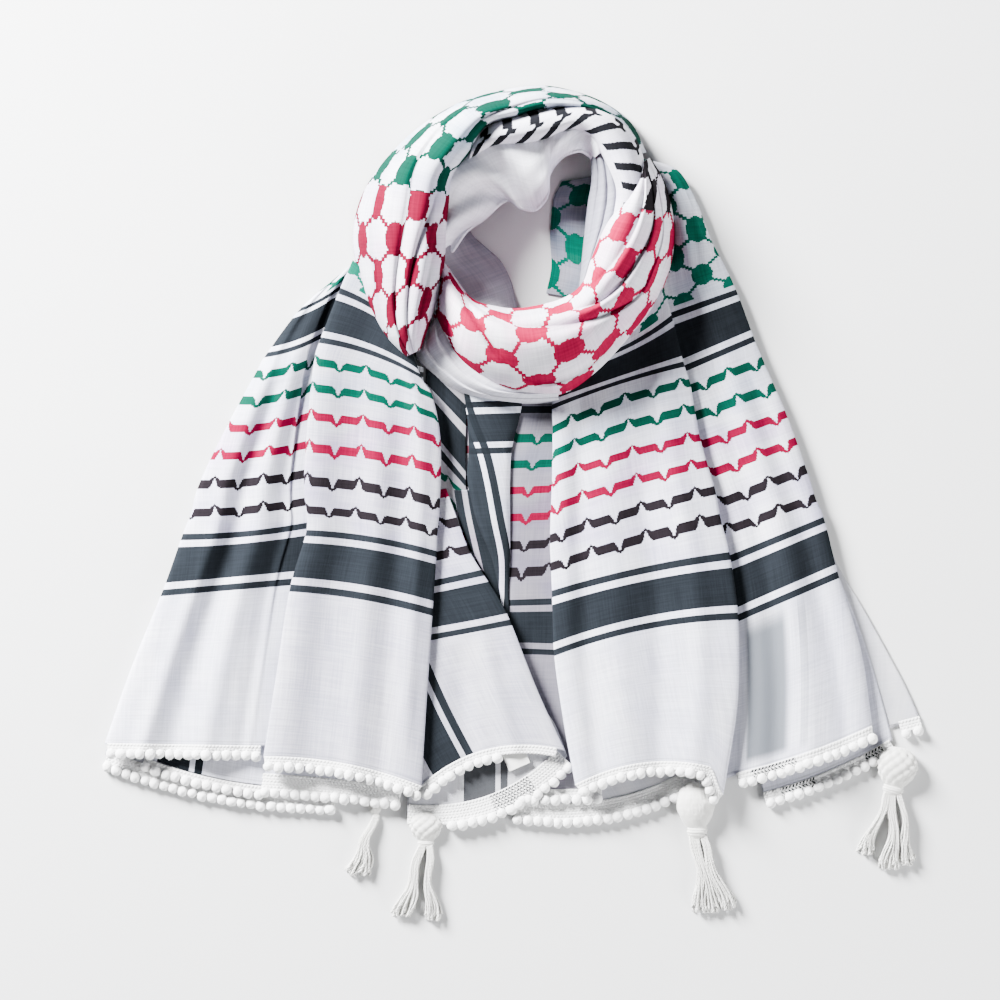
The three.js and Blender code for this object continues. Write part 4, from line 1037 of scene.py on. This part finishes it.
def srgb(red, green, blue):
    """A colour as it looks, from 0 to 255, as the light that it sends back."""
    def linear(level):
        c = level / 255
        return c / 12.92 if c <= 0.04045 else ((c + 0.055) / 1.055) ** 2.4
    return (linear(red), linear(green), linear(blue), 1.0)


SLATE = (0.0102, 0.0126, 0.016, 1.0)
INK_BLACK = (0.0092, 0.0072, 0.0092, 1.0)
INK_RED = (0.15, 0.0, 0.021, 1.0)
INK_GREEN = (0.0, 0.042, 0.027, 1.0)
CHEVRON_BLACK = (0.0065, 0.0068, 0.0085, 1.0)
NET_RED = (0.25, 0.003, 0.034, 1.0)
NET_GREEN = (0.0, 0.08, 0.052, 1.0)
CLOTH_LENGTH = 1100.0  # of the printed cloth, in mm, that the colour tables cover

# Where each colour of ink starts, in mm from the hem
INKS = (
    (0, SLATE), (165.3, INK_BLACK), (208.1, INK_RED), (250.9, INK_GREEN), (293.7, SLATE),
    (348, NET_GREEN), (613.25, NET_RED), (1003.25, INK_BLACK),
)
# What the layers underneath lend the white cloth, and from 480 to 590 mm a painted shade, greyer and
# bluer, for the top of the loop
TINTS_AND_PAINTED_SHADE = (
    (0, srgb(252, 252, 255)), (118, srgb(250, 250, 255)), (160, srgb(230, 228, 242)),
    (206, srgb(228, 219, 238)), (230, srgb(232, 213, 234)), (262, srgb(222, 230, 242)),
    (300, srgb(246, 249, 255)), (350, srgb(240, 248, 252)), (450, srgb(236, 246, 252)),
    (480, srgb(196, 214, 226)), (590, srgb(200, 218, 230)), (640, srgb(250, 228, 242)),
    (818, srgb(255, 222, 238)), (990, srgb(250, 222, 236)), (1040, srgb(246, 244, 250)),
)
CROSSED_BANDS = (0.0036, 0.005, 0.0065, 1.0)
BAND_SHIFT = 188.0  # from the lower set of three bands to the upper one
BORDER_AT, CHEVRON_AT = 1000.0, 2000.0  # places across the print of its lengthwise borders
STITCH = 0.85  # the step of the print's stair-stepped edges
DASH_PITCH, DASH_ROWS, FIRST_DASHES = 21.4, 6, 165.3  # between rows, how many, and from the hem
DASH_HALF = 20.0  # half of the repeat across
NET_START, NET_HALF = 350.0, 19.5  # from the hem, and half of the repeat each way
KNOT_TALL, KNOT_WIDE, KNOT_POWER = 9.7, 8.0, 1.9
BAR_PITCH = 20.0


def scarf_print():
    """The printed pattern: cross bands, rows of leaf dashes, the net, and two lengthwise borders."""
    tree, b, _, (x, y, _), out = cloth_group(
        "scarf_print", Ink="Color", Inked="Float", Tint="Color", Through="Float",
    )

    def stepped(value):
        cell = b.math("FLOOR", b.math("MULTIPLY", value, 1000 / STITCH))
        return b.math("MULTIPLY_ADD", cell, STITCH, STITCH / 2)

    across, along = stepped(x), stepped(y)
    smooth_across, smooth_along = b.math("MULTIPLY", x, 1000.0), b.math("MULTIPLY", y, 1000.0)

    # Cross bands, with edges as straight as the weave
    upper = b.math("GREATER_THAN", smooth_along, 250.0)
    in_set = b.math("SUBTRACT", smooth_along, b.math("MULTIPLY", upper, BAND_SHIFT))
    bands = b.any_of(*(b.between(in_set, *ends) for ends in ((112, 117), (122, 148), (153, 158))))

    # Rows of leaf dashes
    in_rows = b.between(along, FIRST_DASHES, FIRST_DASHES + DASH_ROWS * DASH_PITCH)
    row_y = b.math("FLOORED_MODULO", b.math("SUBTRACT", along, FIRST_DASHES), DASH_PITCH)
    row_y = b.math("SUBTRACT", row_y, DASH_PITCH / 2)
    from_spike = b.math("PINGPONG", across, DASH_HALF)
    near = b.math("MINIMUM", from_spike, b.math("SUBTRACT", DASH_HALF, from_spike))
    in_second = b.math("GREATER_THAN", from_spike, DASH_HALF / 2)
    row_y = b.math("MULTIPLY", row_y, b.math("MULTIPLY_ADD", in_second, -2.0, 1.0))
    # Each dash curls to the point between it and the next one, and thins there
    curl = b.math("MAXIMUM", b.math("MULTIPLY_ADD", near, -1 / 4.6, 1.0), 0.0)
    bent = b.math("MULTIPLY_ADD", b.math("POWER", curl, 1.5), 5.4, row_y)
    half = b.math("MINIMUM", b.math("MULTIPLY_ADD", near, 0.85, 1.0), 3.3)
    dashes = b.math("MULTIPLY", b.math("LESS_THAN", b.math("ABSOLUTE", bent), half), in_rows)

    # The net: knots in alternate rows, joined by curved lines
    up = b.math("DIVIDE", b.math("SUBTRACT", along, NET_START), NET_HALF)
    up = b.math("PINGPONG", up, 1.0)
    over = b.math("DIVIDE", b.math("PINGPONG", across, NET_HALF), NET_HALF)
    curve = b.math("MULTIPLY", b.math("MULTIPLY", up, up), b.math("MULTIPLY_ADD", up, -2.0, 3.0))
    teeth = b.math("GREATER_THAN", b.math("FLOORED_MODULO", along, 2 * STITCH), STITCH)
    # A slanting stretch of line is as thick as a level one
    slant = b.math("MULTIPLY_ADD", b.math("MULTIPLY", up, b.inverse(up)), 3.4, 1.0)
    line_half = b.math("MULTIPLY", b.math("MULTIPLY_ADD", teeth, 0.03, 0.05), slant)
    line = b.math("LESS_THAN", b.math("ABSOLUTE", b.math("SUBTRACT", over, curve)), line_half)

    def knot(u, v):
        tall = b.math("POWER", b.math("MULTIPLY", u, NET_HALF / KNOT_TALL), KNOT_POWER)
        wide = b.math("POWER", b.math("MULTIPLY", v, NET_HALF / KNOT_WIDE), KNOT_POWER)
        return b.math("LESS_THAN", b.math("ADD", tall, wide), 1.0)

    net = b.any_of(line, knot(up, over), knot(b.inverse(up), b.inverse(over)))
    net = b.math("MULTIPLY", net, b.math("GREATER_THAN", along, NET_START))

    # The lengthwise border, of a wide and a narrow band, with no dashes beside it
    from_border = b.math("SUBTRACT", smooth_across, BORDER_AT)
    border = b.any_of(b.between(from_border, -3, 3), b.between(from_border, -32, -7))
    dashes = b.math("MULTIPLY", dashes, b.inverse(b.between(from_border, -37, 26)))

    # The other border, of mirrored bars that meet in a row of points
    from_chevron = b.math("ABSOLUTE", b.math("SUBTRACT", across, CHEVRON_AT))
    bar_y = b.math("FLOORED_MODULO", b.math("MULTIPLY_ADD", from_chevron, 0.45, along), BAR_PITCH)
    bar_y = b.math("SUBTRACT", bar_y, BAR_PITCH / 2)
    bars = b.math("MULTIPLY", b.between(bar_y, -3.8, 3.8), b.between(from_chevron, 1.6, 20.0))
    point = b.math("MULTIPLY", b.between(bar_y, 0.0, 7.0), b.math("LESS_THAN", from_chevron, 1.8))
    on_chevron = b.math("GREATER_THAN", across, CHEVRON_AT - 100)
    bars = b.math("MULTIPLY", b.any_of(bars, point), on_chevron)

    plain = b.math("MULTIPLY", b.any_of(bands, dashes, net, border), b.inverse(on_chevron))
    b.feed(out["Inked"], b.any_of(plain, bars))
    place = b.math("DIVIDE", smooth_along, CLOTH_LENGTH)
    ink = b.ramp(place, INKS, "CONSTANT")
    ink = b.mix(border, ink, SLATE)
    crossing = b.math("MULTIPLY", b.math("MULTIPLY", border, bands), 0.55)
    ink = b.mix(crossing, ink, CROSSED_BANDS)
    b.feed(out["Ink"], b.mix(on_chevron, ink, CHEVRON_BLACK))
    b.feed(out["Tint"], b.ramp(place, TINTS_AND_PAINTED_SHADE))

    # Where the lengthwise band of the layer below shows through, and the stitches along the hem
    rise, fall = b.soft_step(smooth_across, 1537, 1541), b.soft_step(smooth_across, 1566, 1574)
    band = b.math("SUBTRACT", rise, fall)
    narrow = b.math("MULTIPLY", b.between(smooth_across, 1580, 1586), 0.4)
    rise, fall = b.soft_step(smooth_along, 3, 12), b.soft_step(smooth_along, 96, 118)
    shown = b.math("SUBTRACT", rise, fall)
    through = b.math("MULTIPLY", b.math("ADD", band, narrow), shown)
    stitches = b.math("MULTIPLY", b.between(smooth_along, 2.6, 3.6), 0.3)
    b.feed(out["Through"], b.any_of(through, stitches))
    return tree


THREAD_PITCH = 0.62


def voile_weave():
    """A plain open weave with uneven threads: how light it is, and its height."""
    tree, b, cloth, (x, y, _), out = cloth_group("voile_weave", Threads="Float", Height="Float")
    warp = b.noise(b.scaled(cloth, (900, 28, 1)), 1.0, 1.5)
    weft = b.noise(b.scaled(cloth, (28, 900, 1)), 1.0, 1.5)
    cloudy = b.noise(cloth, 45.0, 3.0)
    turns = 2 * math.pi / (THREAD_PITCH * MM)
    over, under = (b.math("SINE", b.math("MULTIPLY", place, turns)) for place in (x, y))
    cross = b.math("MULTIPLY", over, under)
    slubs = b.math("ADD", warp, weft)
    threads = b.math("MULTIPLY_ADD", cross, 0.07, b.math("MULTIPLY", cloudy, 0.3))
    b.feed(out["Threads"], b.math("MULTIPLY_ADD", slubs, 0.5, threads))
    b.feed(out["Height"], b.math("MULTIPLY_ADD", slubs, 0.7, b.math("MULTIPLY", cross, 0.25)))
    return tree


def new_material(name):
    material = bpy.data.materials.new(name)
    material.use_nodes = True
    return material, Workbench(material.node_tree), material.node_tree.nodes["Principled BSDF"]


THIN_INK = 0.62  # of the light of thick ink that ink sends back from a thin place
LAYERS_BELOW = (0.86, 0.865, 0.9, 1.0)
BAND_BELOW = (0.11, 0.12, 0.138, 1.0)


def voile(name, light, shade, faded=0.0, ink_share=1.0):
    """Printed cotton voile. light and shade are the white of its thick and thin places, faded is how
    pale the print is, as on the wrong side, and ink_share is how much light its inks send back."""
    material, b, shader = new_material(name)
    cloth = b.node("ShaderNodeUVMap", uv_map="cloth").outputs[0]
    printed, weave = b.group(SCARF_PRINT, cloth), b.group(VOILE_WEAVE, cloth)
    threads = b.soft_step(weave["Threads"], 0.42, 0.88)
    white = b.mix(threads, shade, light)
    # Patches that take the tint of the colour table, which is painted shade where it darkens the top of
    # the loop
    patches = b.soft_step(b.noise(b.scaled(cloth, (1, 1.6, 1)), 22.0, 2.0), 0.35, 0.7)
    white = b.mix(patches, white, b.times(white, printed["Tint"]))
    # Long soft patches where the layers below darken the white
    layers = b.soft_step(b.noise(b.scaled(cloth, (26, 5, 1)), 1.0, 2.5), 0.42, 0.62)
    white = b.mix(layers, b.times(white, LAYERS_BELOW), white)
    white = b.mix(printed["Through"], white, BAND_BELOW)
    thin, thick = (b.times(printed["Ink"], (k, k, k, 1.0)) for k in (THIN_INK * ink_share, ink_share))
    ink = b.mix(faded, b.mix(threads, thin, thick), shade)
    b.feed(shader.inputs["Base Color"], b.mix(printed["Inked"], white, ink))
    b.feed(shader.inputs["Roughness"], b.math("MULTIPLY_ADD", threads, 0.1, 0.8))
    shader.inputs["Specular IOR Level"].default_value = 0.02
    b.bump(shader, weave["Height"], 0.35, 0.0005)
    return material


def yarn(name, light, shade, ply):
    """Soft cotton yarn with a fine ply."""
    material, b, shader = new_material(name)
    place = b.node("ShaderNodeTexCoord").outputs["Object"]
    fuzz = b.noise(place, ply, 3.0, 0.6)
    cloudy = b.noise(place, ply / 9, 2.0)
    tone = b.math("MULTIPLY_ADD", fuzz, 0.6, b.math("MULTIPLY", cloudy, 0.4))
    b.feed(shader.inputs["Base Color"], b.mix(tone, shade, light))
    b.feed(shader.inputs["Roughness"], b.math("MULTIPLY_ADD", fuzz, 0.12, 0.84))
    shader.inputs["Sheen Weight"].default_value = 0.3
    shader.inputs["Specular IOR Level"].default_value = 0.1
    b.bump(shader, fuzz, 0.5, 0.0006)
    return material


def satin(name, light, shade):
    """Ribbed label satin."""
    material, b, shader = new_material(name)
    place = b.node("ShaderNodeTexCoord").outputs["Object"]
    ribs = b.noise(b.scaled(place, (4000, 300, 300)), 1.0, 1.0)
    b.feed(shader.inputs["Base Color"], b.mix(ribs, shade, light))
    b.feed(shader.inputs["Roughness"], b.math("MULTIPLY_ADD", ribs, 0.15, 0.42))
    b.bump(shader, ribs, 0.3, 0.0002)
    return material


def table_top(name, light, shade):
    """A pale, almost even table."""
    material, b, shader = new_material(name)
    grain = b.noise(b.node("ShaderNodeTexCoord").outputs["Object"], 6.0, 3.0)
    b.feed(shader.inputs["Base Color"], b.mix(grain, shade, light))
    shader.inputs["Roughness"].default_value = 0.7
    shader.inputs["Specular IOR Level"].default_value = 0.2
    return material


SCARF_PRINT = scarf_print()
VOILE_WEAVE = voile_weave()
VOILE_TAIL = voile("voile_tail", (0.635, 0.64, 0.695, 1.0), (0.43, 0.433, 0.5, 1.0))
VOILE_LOOP = voile("voile_loop", (0.68, 0.67, 0.715, 1.0), (0.5, 0.49, 0.54, 1.0))
# Painted shade: a darker white and darker inks for the left roll of the loop, on its side that faces the
# key light
VOILE_LEFT_ROLL_PAINTED_SHADE = voile(
    "voile_left_roll", (0.56, 0.565, 0.61, 1.0), (0.42, 0.42, 0.47, 1.0), ink_share=0.36,
)
# A darker white for the inner left pleat and the centre fold: painted fold shade, partly the layers below
# showing through
VOILE_PLEAT_PAINTED_SHADE = voile("voile_pleat", (0.47, 0.465, 0.515, 1.0), (0.31, 0.307, 0.36, 1.0))
# Painted shade: a dark copy of the voile for the loop's inner wall and the deep folds beside the centre
# twist
VOILE_PAINTED_SHADE = voile("voile_single", (0.29, 0.275, 0.3, 1.0), (0.215, 0.205, 0.228, 1.0))
# Painted shade, darker still, for the fold that lies between the panels of the right tail
VOILE_DEEP_PAINTED_SHADE = voile("voile_inner", (0.185, 0.176, 0.2, 1.0), (0.14, 0.132, 0.154, 1.0))
VOILE_SHADED = voile("voile_shaded", (0.27, 0.27, 0.305, 1.0), (0.19, 0.19, 0.222, 1.0))
# Painted light: a white brighter than the rest of the voile, for the collar that lies in the loop's
# shadow
VOILE_COLLAR_PAINTED_LIGHT = voile("voile_collar", (0.94, 0.94, 0.97, 1.0), (0.7, 0.7, 0.745, 1.0))
# The layers underneath: a darker white, painted shade for where they lie under the top layers, with the
# print faded as on the wrong side
VOILE_UNDER_PAINTED_SHADE = voile("voile_under", (0.518, 0.518, 0.54, 1.0), (0.432, 0.432, 0.461, 1.0), faded=0.07)
COTTON_BRAID = yarn("cotton_braid", srgb(226, 226, 226), srgb(206, 206, 206), 900.0)
POMPOM_COTTON = yarn("pompom_cotton", srgb(230, 230, 230), srgb(214, 214, 214), 1400.0)
TASSEL_YARN = yarn("tassel_yarn", srgb(206, 206, 203), srgb(190, 189, 185), 1100.0)
DARK_PRINT = yarn("dark_print", (0.02, 0.022, 0.026, 1.0), (0.008, 0.009, 0.011, 1.0), 900.0)
LABEL_SATIN = satin("label_satin", srgb(218, 218, 216), srgb(204, 204, 202))
TABLE_TOP = table_top("table_top", (0.6, 0.603, 0.606, 1.0), (0.575, 0.58, 0.587, 1.0))

# The cut of what shows of each sheet, in mm: how wide, how long from hem to loop or along the
# loop, its cloth, what it lies on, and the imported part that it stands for, where that isn't the
# one of its own name
Sheet = namedtuple("Sheet", "width length cloth rests_on node", defaults=(None,))
SHEETS = {
    "left_outer_pleat": Sheet(96, 371, VOILE_TAIL, "left_under_layers"),
    "left_inner_pleat": Sheet(115, 371, VOILE_PLEAT_PAINTED_SHADE, "left_under_layers"),
    "right_main_panel": Sheet(131, 371, VOILE_TAIL, "right_under_layers"),
    "right_outer_panel": Sheet(83, 480, VOILE_TAIL, "right_second_layer"),
    "right_inner_fold": Sheet(48, 322, VOILE_DEEP_PAINTED_SHADE, "right_under_layers"),
    "centre_front_fold": Sheet(69, 222, VOILE_PLEAT_PAINTED_SHADE, "centre_lower_layer"),
    "centre_lower_layer": Sheet(104, 76, VOILE_UNDER_PAINTED_SHADE, "right_under_layers"),
    "centre_twist": Sheet(26, 177, VOILE_TAIL, "right_inner_fold"),
    "centre_deep_fold": Sheet(31, 193, VOILE_PAINTED_SHADE, "right_under_layers"),
    "centre_border_fold": Sheet(14, 101, VOILE_PAINTED_SHADE, "right_under_layers", "centre_deep_fold"),
    "right_second_layer": Sheet(106, 140, VOILE_TAIL, "right_back_layer"),
    "left_fold_layer": Sheet(87, 60, VOILE_TAIL, "left_under_layers", "left_under_layers"),
    "left_inner_layer": Sheet(108, 60, VOILE_TAIL, "left_under_layers", "left_under_layers"),
    "left_under_layers": Sheet(177, 350, VOILE_UNDER_PAINTED_SHADE, "table"),
    "right_under_layers": Sheet(226, 310, VOILE_UNDER_PAINTED_SHADE, "table"),
    "right_back_layer": Sheet(82, 410, VOILE_UNDER_PAINTED_SHADE, "table"),
    "loop_left_roll": Sheet(106, 342, VOILE_LEFT_ROLL_PAINTED_SHADE, "left_inner_pleat", "loop_outer_turn"),
    "loop_bottom_roll": Sheet(118, 287, VOILE_LOOP, "right_main_panel", "loop_outer_turn"),
    "loop_white_folds": Sheet(80, 86, VOILE_LOOP, "right_main_panel", "loop_outer_turn"),
    "loop_chevron_fold": Sheet(56, 200, VOILE_LOOP, "loop_outer_turn", "loop_top_turn"),
    "loop_collar": Sheet(230, 44, VOILE_COLLAR_PAINTED_LIGHT, "loop_outer_turn", "loop_inner_collar"),
    "loop_collar_folds": Sheet(112, 38, VOILE_SHADED, "loop_outer_turn", "loop_inner_collar"),
    "loop_inner_wall": Sheet(60, 84, VOILE_PAINTED_SHADE, "loop_outer_turn", "loop_inner_collar"),
    "hole_layer": Sheet(31, 90, VOILE_SHADED, "table", "hole_under_layer"),
}
CLOTH_THICKNESS, LABEL_THICKNESS = 0.5, 0.25


def thicken(piece, thickness):
    made = piece.modifiers.new("thickness", "SOLIDIFY")
    made.thickness = thickness * MM
    made.offset = -1.0


def finish_cloth(name, points, cloth, jumps=None):
    """Makes a sheet, gives it its thickness and finish, and hides the imported part that it stands for.
    """
    sheet = SHEETS[name]
    piece = cloth_object(name + "_cloth", points, cloth, jumps)
    thicken(piece, CLOTH_THICKNESS)
    piece.data.materials.append(sheet.cloth)
    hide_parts(sheet.node or name)
    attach(piece, "root")


make_camera()
PANEL_GRIDS = {name: panel_points(name) for name in PANELS}
POMPOM = round_ball()
TRIM_PIECES = {trim.name: make_trim(trim, POMPOM) for trim in TRIMS}
for name, grids in PANEL_GRIDS.items():
    finish_cloth(name, *grids)
for name in STRETCHES:
    finish_cloth(name, *stretch_points(name))
finish_cloth("hole_layer", *hole_layer_points())
for tassel in TASSELS:
    make_tassel(tassel)


# The care label, sewn inside the corner of the centre fold and bare on this side
LABEL_AT, LABEL_SIZE = (1.5, -192, 9.4), (17, 14)
LABEL_TURN, LABEL_TILT = math.radians(24), math.radians(-6)


def make_label():
    u, v = np.meshgrid(np.linspace(-0.5, 0.5, 40), np.linspace(-0.5, 0.5, 34))
    x, y = u * LABEL_SIZE[0], v * LABEL_SIZE[1]
    z = 0.5 * np.cos(u * 5) * (v + 0.5) + 0.25
    across = x * math.cos(LABEL_TURN) - y * math.sin(LABEL_TURN)
    along = x * math.sin(LABEL_TURN) + y * math.cos(LABEL_TURN)
    sideways = across * math.cos(LABEL_TILT) + z * math.sin(LABEL_TILT)
    up = -across * math.sin(LABEL_TILT) + z * math.cos(LABEL_TILT)
    points = np.stack([sideways, along, up], axis=-1) + LABEL_AT
    piece = cloth_object("care_label_satin", points, np.stack([x, y], axis=-1))
    thicken(piece, LABEL_THICKNESS)
    piece.data.materials.append(LABEL_SATIN)
    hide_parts("care_label")
    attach(piece, "root")


def make_table():
    half = 3.0
    corners = [(-half, -half, 0), (half, -half, 0), (half, half, 0), (-half, half, 0)]
    mesh = bpy.data.meshes.new("table")
    mesh.from_pydata(corners, [], [(0, 1, 2, 3)])
    table = link(bpy.data.objects.new("table", mesh))
    table.data.materials.append(TABLE_TOP)


def softbox(name, place, size, power):
    """A round studio light, in metres and watts, turned to the middle of the table."""
    data = bpy.data.lights.new(name, "AREA")
    data.shape = "DISK"
    data.size = size
    data.energy = power
    light = link(bpy.data.objects.new(name, data))
    light.location = place
    x, y, z = place
    light.rotation_euler = (math.atan2(math.hypot(x, y), z), 0, math.atan2(-y, -x) - math.pi / 2)


def make_lights():
    world = bpy.data.worlds.new("studio")
    bpy.context.scene.world = world
    world.use_nodes = True
    background = world.node_tree.nodes["Background"]
    background.inputs[0].default_value = (0.96, 0.98, 1.0, 1.0)
    background.inputs[1].default_value = 0.2
    softbox("key_softbox", (-1.6, 1.5, 1.05), 0.95, 1000.0)
    softbox("fill_softbox", (1.9, -1.6, 0.85), 1.2, 165.0)


make_label()
make_table()
make_lights()
